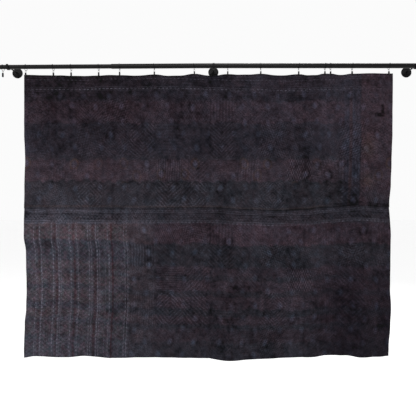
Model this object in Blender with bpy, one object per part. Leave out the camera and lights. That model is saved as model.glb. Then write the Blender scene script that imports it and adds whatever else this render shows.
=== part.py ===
"""Kantha quilt hung by clip rings from a telescoping curtain rod on three brackets.

Metres, +Z up, +X to the viewer's right, +Y away from the viewer.  The origin is at the
centre of the middle bracket's flange, on its flat back.  "Drop" is the distance below that height.

The quilt is two lengths of layered cotton sari, lapped and sewn along a level seam.
Each length is one sheet solid that follows the same drape, so that the lap stays shut.
"""

import math
from collections import namedtuple

import bmesh
import bpy
from mathutils import Vector

# Clearance between pieces that touch
GAP = 0.0003

# Rod: a thin tube slides in a thick one, and the thin half dips toward its bracket
ROD_STANDOFF = 0.106
THICK_TUBE_RADIUS = 0.0127
THIN_TUBE_RADIUS = 0.0111
ROD_LEFT_END = -1.200
ROD_RIGHT_END = 1.150
TUBE_MOUTH = -0.541
SOCKET_DEPTH = 0.125
TUBE_OVERLAP = 0.120
LEFT_BRACKET_DIP = 0.0065
ROD_BEND_LENGTH = 0.100
ROD_SIDES = 24
END_CAP_LIP = 0.0018
END_CAP_LENGTH = 0.011
END_CAP_ROUND = 0.003

# Brackets: a domed flange, a round post and a cup under the rod
FLANGE_RADIUS = 0.0285
FLANGE_RIM = 0.0030
FLANGE_SHOULDER = 0.0042
FLANGE_CROWN = 0.0057
FLANGE_DOME = 0.0065
BOSS_RADIUS = 0.0075
BOSS_FILLET = 0.0018
BOSS_LENGTH = 0.0120
POST_RADIUS = 0.00425
CUP_RADIUS = THICK_TUBE_RADIUS + GAP
CUP_WALL = 0.0045
CUP_WIDTH = 0.011
CUP_LIP_ANGLE = math.radians(34)
CUP_SEGMENTS = 14
FLANGE_SIDES = 32
POST_SIDES = 12

# One row for each bracket: its place, and the radius of the tube that lies in its cup
Bracket = namedtuple("Bracket", "name x tube_radius")
BRACKETS = (
    Bracket("left", -1.088, THIN_TUBE_RADIUS),
    Bracket("middle", 0.0, THICK_TUBE_RADIUS),
    Bracket("right", 1.072, THICK_TUBE_RADIUS),
)

# Clip rings
RING_INSIDE_RADIUS = 0.0160
RING_WIRE = 0.0010
RING_SEGMENTS = 16
WIRE_SIDES = 6
BAIL_HALF_WIDTH = 0.0026
BAIL_WIRE = 0.0006
BAIL_ROOT = 0.0015
BAIL_SEGMENTS = 4
CLIP_DROP = 0.0295
CLIP_LENGTH = 0.0220
CLIP_WIDTH = 0.0070
CLIP_HEAD = 0.0090
CLIP_HEAD_DEPTH = 0.0044
CLIP_SHOULDER = 0.0040
CLIP_SHOULDER_SWELL = 0.0003
SLOT_CORNER = 0.0007
JAW_WALL = 0.0014

# Cloth
CLOTH = 0.0030
SEAM_LAP = 0.010
LAP_EASE = 0.026
CELL_LIMIT = 0.062
TOP_STRIP = 0.030
UPPER_ROWS = 11
LOWER_ROWS = 13
LEVEL_AT_CLIP = 0.0060
CREASE_HALF_WIDTH = 0.014
BOW_REACH = 0.20
FOLD_START = 0.25
PUCKER_HEIGHT = 0.0010
PUCKER_ACROSS = 0.097
PUCKER_DOWN = 0.131
QUILT_DROP = 1.545

# One row for each clip on the cloth: its place across, how far the cloth's edge hangs
# below the origin there, how far the top of its ring leans to the right, and for the
# span to its right how far the edge sags and how deep it bows toward the back
Clip = namedtuple("Clip", "x edge_drop lean sag bow")
CLIPS = (
    Clip(-0.996, 0.0490, 0.001, 0.002, 0.005),
    Clip(-0.849, 0.0520, -0.005, 0.001, -0.004),
    Clip(-0.755, 0.0545, -0.004, 0.0035, 0.008),
    Clip(-0.609, 0.0530, -0.002, 0.0005, -0.003),
    Clip(-0.498, 0.0510, -0.003, 0.006, 0.010),
    Clip(-0.314, 0.0470, -0.004, 0.011, -0.012),
    Clip(-0.102, 0.0435, -0.006, 0.008, 0.012),
    Clip(0.075, 0.0455, 0.002, 0.007, -0.009),
    Clip(0.250, 0.0435, -0.001, 0.009, 0.011),
    Clip(0.451, 0.0460, 0.005, 0.011, -0.012),
    Clip(0.590, 0.0425, 0.004, 0.000, 0.000),
    Clip(0.620, 0.0430, -0.001, 0.009, 0.011),
    Clip(0.734, 0.0430, 0.004, 0.002, -0.006),
    Clip(0.929, 0.0420, 0.005, 0.000, 0.000),
)
SPARE_RING_X = -1.117

# The cloth's two side edges at each level
Side = namedtuple("Side", "drop left right")
SIDES = (
    Side(0.050, -1.003, 0.949),
    Side(0.353, -1.003, 0.948),
    Side(0.502, -0.998, 0.944),
    Side(0.629, -1.002, 0.940),
    Side(0.735, -1.001, 0.932),
    Side(0.905, -1.001, 0.940),
    Side(0.990, -0.991, 0.939),
    Side(1.180, -0.987, 0.937),
    Side(1.286, -0.989, 0.940),
    Side(1.371, -0.996, 0.936),
    Side(1.498, -1.002, 0.927),
    Side(1.546, -1.002, 0.929),
)

# The seam between the two lengths, and the hem
Level = namedtuple("Level", "x drop")
SEAM = (
    Level(-1.003, 0.761),
    Level(-0.200, 0.761),
    Level(-0.010, 0.759),
    Level(0.200, 0.770),
    Level(0.350, 0.775),
    Level(0.500, 0.767),
    Level(0.600, 0.756),
    Level(0.780, 0.742),
    Level(0.949, 0.752),
)
HEM = (
    Level(-1.003, 1.546),
    Level(-0.949, 1.539),
    Level(-0.864, 1.544),
    Level(-0.779, 1.545),
    Level(-0.684, 1.540),
    Level(-0.525, 1.549),
    Level(-0.440, 1.547),
    Level(-0.122, 1.547),
    Level(0.005, 1.554),
    Level(0.090, 1.560),
    Level(0.259, 1.552),
    Level(0.471, 1.544),
    Level(0.620, 1.538),
    Level(0.683, 1.541),
    Level(0.726, 1.539),
    Level(0.789, 1.545),
    Level(0.853, 1.542),
    Level(0.949, 1.537),
)

# Soft hanging folds: depth toward the back at the top and at the hem
Fold = namedtuple("Fold", "x half_width top hem")
FOLDS = (
    Fold(-0.890, 0.070, 0.002, 0.006),
    Fold(-0.684, 0.085, 0.003, 0.009),
    Fold(-0.525, 0.090, -0.003, -0.010),
    Fold(-0.255, 0.120, 0.006, 0.005),
    Fold(-0.020, 0.050, 0.004, 0.010),
    Fold(0.090, 0.090, -0.003, -0.024),
    Fold(0.330, 0.120, 0.004, 0.006),
    Fold(0.620, 0.095, 0.003, 0.020),
    Fold(0.789, 0.060, -0.002, -0.014),
    Fold(0.940, 0.070, 0.000, 0.012),
)

# Creases from folding the quilt in quarters: how deep each is at the top and the hem
Crease = namedtuple("Crease", "x top hem")
CREASES = (
    Crease(-0.527, 0.0008, 0.0025),
    Crease(-0.012, 0.0015, 0.0030),
    Crease(0.487, 0.0025, 0.0010),
)


def ease(t):
    """Smoothstep: 0 below 0, 1 above 1, level at both ends."""
    t = min(1.0, max(0.0, t))
    return t * t * (3.0 - 2.0 * t)


def along(rows, key, value, at):
    """The table's value at a place, eased from one row to the next."""
    places = [getattr(row, key) for row in rows]
    values = [getattr(row, value) for row in rows]
    if at <= places[0]:
        return values[0]
    for low, high, first, last in zip(places, places[1:], values, values[1:]):
        if at <= high:
            return first + (last - first) * ease((at - low) / (high - low))
    return values[-1]


def remove_objects():
    for obj in list(bpy.data.objects):
        bpy.data.objects.remove(obj, do_unlink=True)


def finish_material(name, red, green, blue, roughness, metallic):
    material = bpy.data.materials.new(name)
    material.use_nodes = True
    shader = material.node_tree.nodes["Principled BSDF"]
    shader.inputs["Base Color"].default_value = (red, green, blue, 1.0)
    shader.inputs["Roughness"].default_value = roughness
    shader.inputs["Metallic"].default_value = metallic
    return material


def add_object(name, mesh, material, parent, location=(0.0, 0.0, 0.0), turn=0.0):
    """Place a mesh under its parent, turned about the Y axis."""
    if material.name not in mesh.materials:
        mesh.materials.append(material)
    obj = bpy.data.objects.new(name, mesh)
    bpy.context.scene.collection.objects.link(obj)
    obj.parent = parent
    obj.location = location
    obj.rotation_euler = (0.0, turn, 0.0)
    return obj


def mesh_from(bm, name, smooth_angle=None):
    bmesh.ops.recalc_face_normals(bm, faces=bm.faces)
    mesh = bpy.data.meshes.new(name)
    bm.to_mesh(mesh)
    bm.free()
    if smooth_angle is not None:
        mesh.shade_smooth()
        mesh.set_sharp_from_angle(angle=smooth_angle)
    return mesh


def join_loops(bm, loops, closed=False):
    """Skin loops of vertices with quads, each loop closed on itself."""
    pairs = list(zip(loops, loops[1:]))
    if closed:
        pairs.append((loops[-1], loops[0]))
    for first, second in pairs:
        count = len(first)
        for i in range(count):
            j = (i + 1) % count
            bm.faces.new((first[i], first[j], second[j], second[i]))


def circle_points(centre, across, up, radius, sides):
    """Points on a circle spanned by two unit vectors."""
    step = 2.0 * math.pi / sides
    return [
        centre + across * (radius * math.cos(i * step)) + up * (radius * math.sin(i * step))
        for i in range(sides)
    ]


def add_loop(bm, points):
    return [bm.verts.new(point) for point in points]


# Rod


def rod_height(x):
    """Height of the rod's axis: level on the right, bending down to the left bracket."""
    slope = LEFT_BRACKET_DIP / (-BRACKETS[0].x - ROD_BEND_LENGTH / 2.0)
    run = max(0.0, -x)
    if run < ROD_BEND_LENGTH:
        return -slope * run * run / (2.0 * ROD_BEND_LENGTH)
    return -slope * (run - ROD_BEND_LENGTH / 2.0)


def rod_radius(x):
    return THICK_TUBE_RADIUS if x > TUBE_MOUTH else THIN_TUBE_RADIUS


def rod_loop(bm, x, radius):
    centre = Vector((x, 0.0, rod_height(x)))
    points = circle_points(centre, Vector((0, 1, 0)), Vector((0, 0, 1)), radius, ROD_SIDES)
    return add_loop(bm, points)


def thick_tube_mesh():
    """The thick length, with the socket that the thin one slides in."""
    bm = bmesh.new()
    bore = THIN_TUBE_RADIUS + GAP
    loops = [rod_loop(bm, TUBE_MOUTH + SOCKET_DEPTH, bore), rod_loop(bm, TUBE_MOUTH, bore)]
    bend = [-ROD_BEND_LENGTH * part / 3.0 for part in (3, 2, 1, 0)]
    stations = [TUBE_MOUTH] + bend + [ROD_RIGHT_END]
    loops += [rod_loop(bm, x, THICK_TUBE_RADIUS) for x in stations]
    join_loops(bm, loops)
    bm.faces.new(loops[0])
    bm.faces.new(loops[-1])
    return mesh_from(bm, "thick_tube", math.radians(30))


def thin_tube_mesh():
    bm = bmesh.new()
    ends = (ROD_LEFT_END, TUBE_MOUTH + TUBE_OVERLAP)
    loops = [rod_loop(bm, x, THIN_TUBE_RADIUS) for x in ends]
    join_loops(bm, loops)
    bm.faces.new(loops[0])
    bm.faces.new(loops[-1])
    return mesh_from(bm, "thin_tube", math.radians(30))


def turned_mesh(name, profile, sides, smooth_angle):
    """Turn a profile of (radius, distance) rows about Y; both end rows are flat faces."""
    bm = bmesh.new()
    loops = []
    for radius, distance in profile:
        centre = Vector((0.0, distance, 0.0))
        points = circle_points(centre, Vector((1, 0, 0)), Vector((0, 0, 1)), radius, sides)
        loops.append(add_loop(bm, points))
    join_loops(bm, loops)
    bm.faces.new(loops[0])
    bm.faces.new(loops[-1])
    return mesh_from(bm, name, smooth_angle)


def end_cap_mesh(name, tube_radius):
    """A plain cap with a rounded outer edge."""
    radius = tube_radius + END_CAP_LIP
    middle = END_CAP_ROUND * (1.0 - math.sqrt(0.5))
    profile = (
        (radius, 0.0),
        (radius, END_CAP_LENGTH - END_CAP_ROUND),
        (radius - middle, END_CAP_LENGTH - middle),
        (radius - END_CAP_ROUND, END_CAP_LENGTH),
    )
    return turned_mesh(name, profile, ROD_SIDES, math.radians(50))


def add_end_cap(side, end_x, tube_radius, outward, material, parent):
    """Outward is 1 at the right end and -1 at the left one."""
    mesh = end_cap_mesh("end_cap_" + side, tube_radius)
    at = (end_x + outward * GAP, -ROD_STANDOFF, rod_height(end_x))
    cap = add_object("rod_end_cap_" + side, mesh, material, parent, at)
    cap.rotation_euler = (0.0, 0.0, -outward * math.pi / 2.0)


# Brackets


def flange_mesh():
    """Domed disc with a boss; the flat back lies at y = 0."""
    profile = (
        (FLANGE_RADIUS, 0.0),
        (FLANGE_RADIUS, -FLANGE_RIM),
        (0.93 * FLANGE_RADIUS, -FLANGE_SHOULDER),
        (0.60 * FLANGE_RADIUS, -FLANGE_CROWN),
        (BOSS_RADIUS + BOSS_FILLET, -FLANGE_DOME),
        (BOSS_RADIUS, -FLANGE_DOME - BOSS_FILLET),
        (BOSS_RADIUS, -BOSS_LENGTH),
    )
    return turned_mesh("flange", profile, FLANGE_SIDES, math.radians(35))


def cup_arc(radius):
    """Points under the rod from the back lip round to the front one."""
    sweep = math.pi + 2.0 * CUP_LIP_ANGLE
    points = []
    for i in range(CUP_SEGMENTS + 1):
        angle = CUP_LIP_ANGLE - sweep * i / CUP_SEGMENTS
        points.append((radius * math.cos(angle), radius * math.sin(angle)))
    return points


def cup_mesh():
    """The cup's section is an open ring, extruded along the rod."""
    outline = cup_arc(CUP_RADIUS) + cup_arc(CUP_RADIUS + CUP_WALL)[::-1]
    bm = bmesh.new()
    loops = []
    for x in (-CUP_WIDTH / 2.0, CUP_WIDTH / 2.0):
        loops.append(add_loop(bm, [Vector((x, y, z)) for y, z in outline]))
    join_loops(bm, loops)
    last = 2 * CUP_SEGMENTS + 1
    for loop in loops:
        for i in range(CUP_SEGMENTS):
            bm.faces.new((loop[i], loop[i + 1], loop[last - i - 1], loop[last - i]))
    return mesh_from(bm, "cup", math.radians(30))


def post_mesh():
    """Round post from the boss into the back of the cup, about the cup's centre."""
    start = ROD_STANDOFF - BOSS_LENGTH - GAP
    end = CUP_RADIUS + CUP_WALL / 2.0
    profile = ((POST_RADIUS, start), (POST_RADIUS, end))
    return turned_mesh("post", profile, POST_SIDES, math.radians(40))


def join_meshes(name, first, second):
    """Boolean union of two closed meshes, as one new mesh."""
    collection = bpy.context.scene.collection
    base = bpy.data.objects.new(name, first)
    tool = bpy.data.objects.new(name + "_tool", second)
    tool.hide_render = True
    tool.display_type = "WIRE"
    collection.objects.link(base)
    collection.objects.link(tool)
    union = base.modifiers.new("join", "BOOLEAN")
    union.operation = "UNION"
    union.solver = "EXACT"
    union.object = tool
    bpy.context.view_layer.update()
    graph = bpy.context.evaluated_depsgraph_get()
    joined = bpy.data.meshes.new_from_object(base.evaluated_get(graph))
    joined.name = name
    bpy.data.objects.remove(base, do_unlink=True)
    bpy.data.objects.remove(tool, do_unlink=True)
    return joined


def add_brackets(material, parent):
    flange = flange_mesh()
    arm = join_meshes("bracket_arm", cup_mesh(), post_mesh())
    for row in BRACKETS:
        # A tube thinner than the cup lies on the cup's floor
        height = rod_height(row.x) + CUP_RADIUS - GAP - row.tube_radius
        add_object("wall_flange_" + row.name, flange, material, parent, (row.x, 0.0, height))
        at = (row.x, -ROD_STANDOFF, height)
        add_object("bracket_arm_" + row.name, arm, material, parent, at)


# Clip rings


def ring_mesh():
    """Wire ring in the YZ plane, hung from the middle of its top side's inner face."""
    bm = bmesh.new()
    step = 2.0 * math.pi / RING_SEGMENTS
    centre_radius = RING_INSIDE_RADIUS + RING_WIRE
    inside_height = RING_INSIDE_RADIUS * math.cos(step / 2.0)
    loops = []
    for i in range(RING_SEGMENTS):
        angle = math.pi / 2.0 + (i + 0.5) * step
        outward = Vector((0.0, math.cos(angle), math.sin(angle)))
        centre = outward * centre_radius - Vector((0.0, 0.0, inside_height))
        points = circle_points(centre, outward, Vector((1, 0, 0)), RING_WIRE, WIRE_SIDES)
        loops.append(add_loop(bm, points))
    join_loops(bm, loops, closed=True)
    return mesh_from(bm, "clip_ring", math.radians(70))


def ring_bottom_drop():
    """From the ring's hanging point down to the centre of its lowest wire."""
    return RING_INSIDE_RADIUS * 2.0 * math.cos(math.pi / RING_SEGMENTS) + RING_WIRE


def bail_mesh(rise):
    """Upside-down U of wire whose legs run into the clip's head."""
    bm = bmesh.new()
    stations = [Vector((-BAIL_HALF_WIDTH, 0.0, -BAIL_ROOT))]
    directions = [Vector((0, 0, 1))]
    arch = rise - BAIL_HALF_WIDTH - BAIL_WIRE
    for i in range(BAIL_SEGMENTS + 1):
        angle = math.pi * (1.0 - i / BAIL_SEGMENTS)
        spot = Vector((math.cos(angle), 0.0, math.sin(angle)))
        stations.append(spot * BAIL_HALF_WIDTH + Vector((0.0, 0.0, arch)))
        directions.append(Vector((math.sin(angle), 0.0, -math.cos(angle))))
    stations.append(Vector((BAIL_HALF_WIDTH, 0.0, -BAIL_ROOT)))
    directions.append(Vector((0, 0, -1)))
    loops = []
    for spot, direction in zip(stations, directions):
        across = Vector((0, 1, 0))
        up = direction.cross(across)
        loops.append(add_loop(bm, circle_points(spot, across, up, BAIL_WIRE, WIRE_SIDES)))
    join_loops(bm, loops)
    bm.faces.new(loops[0])
    bm.faces.new(loops[-1])
    return mesh_from(bm, "bail")


def fork_mesh():
    """Clip body: a solid head above two jaws that hold the cloth's edge."""
    slot = CLOTH / 2.0 + GAP
    jaw = slot + JAW_WALL
    half = (
        (CLIP_HEAD_DEPTH / 2.0, 0.0),
        (jaw + CLIP_SHOULDER_SWELL, -CLIP_SHOULDER),
        (jaw, -CLIP_LENGTH),
        (slot, -CLIP_LENGTH),
        (slot, -CLIP_HEAD - SLOT_CORNER),
        (slot - SLOT_CORNER, -CLIP_HEAD),
    )
    outline = list(half) + [(-y, z) for y, z in reversed(half)]
    bm = bmesh.new()
    loops = []
    for x in (-CLIP_WIDTH / 2.0, CLIP_WIDTH / 2.0):
        loops.append(add_loop(bm, [Vector((x, y, z)) for y, z in outline]))
    join_loops(bm, loops)
    last = len(outline) - 1
    for loop in loops:
        bm.faces.new((loop[0], loop[1], loop[last - 1], loop[last]))
        bm.faces.new((loop[1], loop[4], loop[5], loop[last - 5], loop[last - 4], loop[last - 1]))
        bm.faces.new((loop[1], loop[2], loop[3], loop[4]))
        bm.faces.new((loop[last - 1], loop[last - 4], loop[last - 3], loop[last - 2]))
    return mesh_from(bm, "fork")


def clip_hang():
    """From the ring's hanging point down to the top of the clip's head."""
    return CLIP_DROP + THICK_TUBE_RADIUS + GAP


def clip_mesh():
    """Clip with its bail; the origin is at the middle of the head's top face."""
    rise = clip_hang() - ring_bottom_drop() + RING_WIRE + GAP + 2.0 * BAIL_WIRE
    return join_meshes("clip", fork_mesh(), bail_mesh(rise))


def add_clip_ring(tag, x, lean, meshes, material, parent):
    """A ring hung on the rod, leaning so that its top lies to one side of its clip."""
    ring, clip = meshes
    top = rod_height(x) + rod_radius(x) + GAP
    turn = math.atan2(lean, clip_hang())
    lowest = ring_bottom_drop()
    at = (x + lowest * math.sin(turn), -ROD_STANDOFF, top)
    add_object("ring_" + tag, ring, material, parent, at, turn)
    height = top - clip_hang() + lowest * (1.0 - math.cos(turn))
    add_object("clip_" + tag, clip, material, parent, (x, -ROD_STANDOFF, height))


def add_clip_rings(material, parent):
    meshes = (ring_mesh(), clip_mesh())
    for number, row in enumerate(CLIPS, start=1):
        add_clip_ring(f"{number:02d}", row.x, row.lean, meshes, material, parent)
    add_clip_ring("spare", SPARE_RING_X, 0.0, meshes, material, parent)


# Cloth


def column_places():
    """Places across the cloth: a level strip at each clip, creases, and even cells between."""
    fixed = [SIDES[0].left, SIDES[0].right]
    for row in CLIPS:
        fixed += [row.x - LEVEL_AT_CLIP, row.x + LEVEL_AT_CLIP]
    for row in CREASES:
        fixed += [row.x - CREASE_HALF_WIDTH, row.x, row.x + CREASE_HALF_WIDTH]
    fixed = sorted(x for x in fixed if SIDES[0].left <= x <= SIDES[0].right)
    places = [fixed[0]]
    for x in fixed[1:]:
        room = x - places[-1]
        cells = max(1, math.ceil(room / CELL_LIMIT))
        start = places[-1]
        places += [start + room * (i + 1) / cells for i in range(cells)]
    return places


def span_at(x):
    """The clip to the left of a place, and how far across the span to the next one it is."""
    for row, following in zip(CLIPS, CLIPS[1:]):
        if x < following.x:
            room = following.x - row.x - 2.0 * LEVEL_AT_CLIP
            return row, following, min(1.0, max(0.0, (x - row.x - LEVEL_AT_CLIP) / room))
    return CLIPS[-1], CLIPS[-1], 0.0


def edge_drop(x):
    """The top edge rises to each clip and sags between them."""
    row, following, t = span_at(x)
    line = row.edge_drop + (following.edge_drop - row.edge_drop) * t
    return line + row.sag * math.sin(math.pi * t) ** 2


def bow_depth(x):
    row, _, t = span_at(x)
    return row.bow * math.sin(math.pi * t) ** 2


def fold_depth(x, t):
    total = 0.0
    for row in FOLDS:
        depth = row.top + (row.hem - row.top) * t
        total += depth * math.exp(-(((x - row.x) / row.half_width) ** 2))
    for row in CREASES:
        depth = row.top + (row.hem - row.top) * t
        total += depth * max(0.0, 1.0 - abs(x - row.x) / CREASE_HALF_WIDTH)
    return total


def pucker(x, drop):
    """The quilting's shallow puckers, rows of them staggered like bricks."""
    across = math.sin(2.0 * math.pi * (x / PUCKER_ACROSS + 0.5 * drop / PUCKER_DOWN))
    return PUCKER_HEIGHT * across * math.sin(2.0 * math.pi * drop / PUCKER_DOWN)


def drape_depth(x, drop):
    """Depth of the cloth's middle layer behind the rod's axis."""
    below = drop - edge_drop(x)
    hanging = ease(below / FOLD_START)
    bows = bow_depth(x) * math.exp(-((below / BOW_REACH) ** 2))
    return bows + hanging * (fold_depth(x, drop / QUILT_DROP) + pucker(x, drop))


def cloth_point(x, drop, shift):
    """Place on the cloth, drawn in with its side edges at that level."""
    first, last = SIDES[0].left, SIDES[0].right
    left = along(SIDES, "drop", "left", drop)
    right = along(SIDES, "drop", "right", drop)
    place = left + (right - left) * (x - first) / (last - first)
    return Vector((place, -ROD_STANDOFF + drape_depth(x, drop) + shift, -drop))


def sheet_mesh(name, columns, drops_at, shifts):
    """Closed sheet: drops_at(x) gives each row's drop, and shifts its step in the lap."""
    bm = bmesh.new()
    front, back = [], []
    for x in columns:
        drops = drops_at(x)
        near = [cloth_point(x, d, s - CLOTH / 2.0) for d, s in zip(drops, shifts)]
        far = [cloth_point(x, d, s + CLOTH / 2.0) for d, s in zip(drops, shifts)]
        front.append(add_loop(bm, near))
        back.append(add_loop(bm, far))
    loops = [near + far[::-1] for near, far in zip(front, back)]
    join_loops(bm, loops)
    last = len(shifts) - 1
    for near, far in ((front[0], back[0]), (front[-1], back[-1])):
        for i in range(last):
            bm.faces.new((near[i], near[i + 1], far[i + 1], far[i]))
    return mesh_from(bm, name, math.radians(60))


def even_parts(start, end, count):
    return [start + (end - start) * i / count for i in range(1, count)]


def upper_drops(x):
    """Rows of the upper length, from its top edge to its lower selvedge."""
    top = edge_drop(x)
    seam = along(SEAM, "x", "drop", x)
    ease_start = seam - SEAM_LAP - LAP_EASE
    middle = even_parts(top + TOP_STRIP, ease_start, UPPER_ROWS)
    lap = [ease_start, seam - SEAM_LAP, seam]
    return [top, top + TOP_STRIP] + middle + lap


def lower_drops(x):
    """Rows of the lower length, from its tucked top edge to the hem."""
    seam = along(SEAM, "x", "drop", x)
    hem = along(HEM, "x", "drop", x)
    middle = even_parts(seam + LAP_EASE, hem, LOWER_ROWS)
    return [seam - SEAM_LAP, seam, seam + LAP_EASE] + middle + [hem]


def add_cloth(material, parent):
    """The upper length laps over the front of the lower one at the seam."""
    columns = column_places()
    step = (CLOTH + GAP) / 2.0
    upper_shifts = [0.0] * (2 + UPPER_ROWS) + [-step, -step]
    upper = sheet_mesh("upper_length", columns, upper_drops, upper_shifts)
    add_object("upper_panel", upper, material, parent)
    lower_shifts = [step, step] + [0.0] * (1 + LOWER_ROWS)
    lower = sheet_mesh("lower_length", columns, lower_drops, lower_shifts)
    add_object("lower_panel", lower, material, parent)


def build():
    remove_objects()
    frame = bpy.data.objects.new("hanging_quilt", None)
    bpy.context.scene.collection.objects.link(frame)
    cotton = finish_material("overdyed_cotton", 0.020, 0.018, 0.022, 0.95, 0.0)
    steel = finish_material("black_steel", 0.012, 0.012, 0.013, 0.45, 0.6)
    wire = finish_material("black_wire", 0.010, 0.010, 0.011, 0.40, 0.7)
    rod_place = (0.0, -ROD_STANDOFF, 0.0)
    add_object("rod_thick_tube", thick_tube_mesh(), steel, frame, rod_place)
    add_object("rod_thin_tube", thin_tube_mesh(), steel, frame, rod_place)
    add_end_cap("left", ROD_LEFT_END, THIN_TUBE_RADIUS, -1.0, steel, frame)
    add_end_cap("right", ROD_RIGHT_END, THICK_TUBE_RADIUS, 1.0, steel, frame)
    add_brackets(steel, frame)
    add_clip_rings(wire, frame)
    add_cloth(cotton, frame)


build()
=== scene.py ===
# %% [markdown]
# # A kantha quilt on a curtain rod
# This lesson dresses a measured frame of a hand-quilted cloth that hangs by clip rings.
# The cloth is two lengths of layered cotton sari, lapped along a level seam, covered in
# running stitch and then dyed over in black, so that the prints show as faint shadows.
# Lengths are in metres.  +Z is up, +X is to the right and +Y goes away from the viewer.
# "Drop" is the distance below the rod's bracket, so it grows down the cloth.

# %% Load the frame
import math

import bpy
import numpy as np
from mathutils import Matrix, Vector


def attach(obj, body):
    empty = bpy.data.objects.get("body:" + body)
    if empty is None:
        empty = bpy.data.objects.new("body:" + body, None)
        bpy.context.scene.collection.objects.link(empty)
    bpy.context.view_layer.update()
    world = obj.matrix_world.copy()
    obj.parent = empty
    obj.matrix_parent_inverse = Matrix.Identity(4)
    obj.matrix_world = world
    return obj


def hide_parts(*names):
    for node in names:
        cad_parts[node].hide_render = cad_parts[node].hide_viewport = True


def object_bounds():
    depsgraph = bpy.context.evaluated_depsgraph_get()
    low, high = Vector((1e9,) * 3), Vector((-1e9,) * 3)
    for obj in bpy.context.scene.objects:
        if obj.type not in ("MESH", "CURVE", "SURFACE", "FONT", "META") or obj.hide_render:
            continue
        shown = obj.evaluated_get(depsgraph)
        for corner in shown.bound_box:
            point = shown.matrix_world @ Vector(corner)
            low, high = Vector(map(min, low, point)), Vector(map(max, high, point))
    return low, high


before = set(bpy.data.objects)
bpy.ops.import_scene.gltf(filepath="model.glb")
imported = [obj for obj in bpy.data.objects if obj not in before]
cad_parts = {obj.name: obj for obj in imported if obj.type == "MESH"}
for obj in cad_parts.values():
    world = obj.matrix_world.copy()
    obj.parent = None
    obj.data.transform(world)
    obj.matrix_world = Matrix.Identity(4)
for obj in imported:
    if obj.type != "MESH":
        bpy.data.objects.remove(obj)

frame_low, frame_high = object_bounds()
print("frame", [round(side, 3) for side in frame_high - frame_low])

# %% [markdown]
# ## Shared helpers
# Colours are written as the sRGB hex values that a painter would mix them by, and Blender
# works in linear light, so one function turns them.  A second one adds a shader node with
# its settings and its links, and others start a material and put arrays into a mesh.

# %% Colour, node and mesh helpers
MATH, RANGE, NOISE = "ShaderNodeMath", "ShaderNodeMapRange", "ShaderNodeTexNoise"
TIMES = {"operation": "MULTIPLY"}


def linear(hex_colour):
    """Linear RGB of an sRGB hex colour: the usual curve, a line near black."""
    parts = [int(hex_colour[i : i + 2], 16) / 255.0 for i in (1, 3, 5)]
    return [c / 12.92 if c <= 0.04045 else ((c + 0.055) / 1.055) ** 2.4 for c in parts]


def add_node(tree, kind, inputs=(), settings=None, output=0):
    """Add a node and return one of its outputs.

    Its inputs are values or sockets, by name or in the order of its own sockets, which for
    a map range is the value, then where it comes from, then where it goes to.
    """
    node = tree.nodes.new(kind)
    for name, value in (settings or {}).items():
        setattr(node, name, value)
    for name, value in inputs.items() if isinstance(inputs, dict) else enumerate(inputs):
        if isinstance(value, bpy.types.NodeSocket):
            tree.links.new(value, node.inputs[name])
        else:
            node.inputs[name].default_value = value
    return node.outputs[output]


def new_material(name, values):
    """A material, its tree, and its Principled shader's sockets with their plain values."""
    material = bpy.data.materials.new(name)
    material.use_nodes = True
    sockets = material.node_tree.nodes["Principled BSDF"].inputs
    for socket, value in values.items():
        sockets[socket].default_value = value
    return material, material.node_tree, sockets


def add_piece(name, points, faces, material):
    """A mesh object at the origin from an array of points and lists of face corners."""
    mesh = bpy.data.meshes.new(name)
    mesh.from_pydata(points.tolist(), [], [face for group in faces for face in group.tolist()])
    mesh.materials.append(material)
    mesh.shade_smooth()
    piece = bpy.data.objects.new(name, mesh)
    bpy.context.scene.collection.objects.link(piece)
    mesh.calc_loop_triangles()
    print(name, len(mesh.vertices), "points", len(mesh.loop_triangles), "triangles")
    return piece


# %% [markdown]
# ## How the cloth hangs
# Fourteen clips lift the top edge and let it sag a little between them.  Below the clips
# the cloth falls in soft folds, and three straight creases are left from the years that
# it lay folded.  These tables are the frame's, with edges a few millimetres truer to the
# photo, so the finer cloth made here follows the frame's sheets.  A row of CLIPS is the
# place across, the drop of the edge, the lean of the ring, and the sag and the bow of the
# span to its right.  A table that ends in 1000.0 is written in millimetres.

# %% Tables of the hanging cloth
STANDOFF = 0.106
THICKNESS = 0.0030
GAP = 0.0003
CLIPS = np.array([
    (-996, 49, 1, -1, 5), (-849, 52, -5, 0, -4), (-755, 54.5, -4, -1, 8), (-609, 53, -2, -1, -3),
    (-498, 51, -3, 1, 10), (-314, 47, -4, 12, -12), (-102, 43.5, -6, 5, 12), (75, 45.5, 2, 6, -9),
    (250, 43.5, -1, 4, 11), (451, 46, 5, 10, -12), (590, 42.5, 4, 0, 0), (620, 43, -1, 3, 11),
    (734, 43, 4, 0, -6), (929, 42, 5, 0, 0),
]) / 1000.0
# Drop, left edge, right edge
SIDES = np.array([
    (50, -1003, 949), (353, -1003, 948), (502, -998, 944), (629, -1002, 940), (735, -1003, 932),
    (905, -1005, 941), (990, -993.5, 940), (1180, -990, 938), (1286, -992.5, 944),
    (1371, -1000, 940), (1498, -1004.5, 932), (1546, -1004, 931),
]) / 1000.0
# Place across, drop of the seam, drop of the woven border below it
SEAM = np.array([
    (-1003, 754.5, 761), (-540, 754.5, 761), (-440, 757.5, 761), (-200, 757.5, 761),
    (-10, 756, 759), (200, 767, 771), (350, 771.5, 776), (500, 763.5, 771), (600, 752.5, 760),
    (780, 738.5, 746), (949, 748.5, 756),
]) / 1000.0
# Place across, how much lower the top border's lines run there, since the cloth sags
SWAG = np.array([
    (-1003, 2), (-750, 5), (-600, 0), (-450, -1), (-340, -4), (-200, 0), (-10, 0), (140, 10),
    (270, 5), (450, 9), (620, 3), (720, -2), (949, -1),
]) / 1000.0
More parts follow.
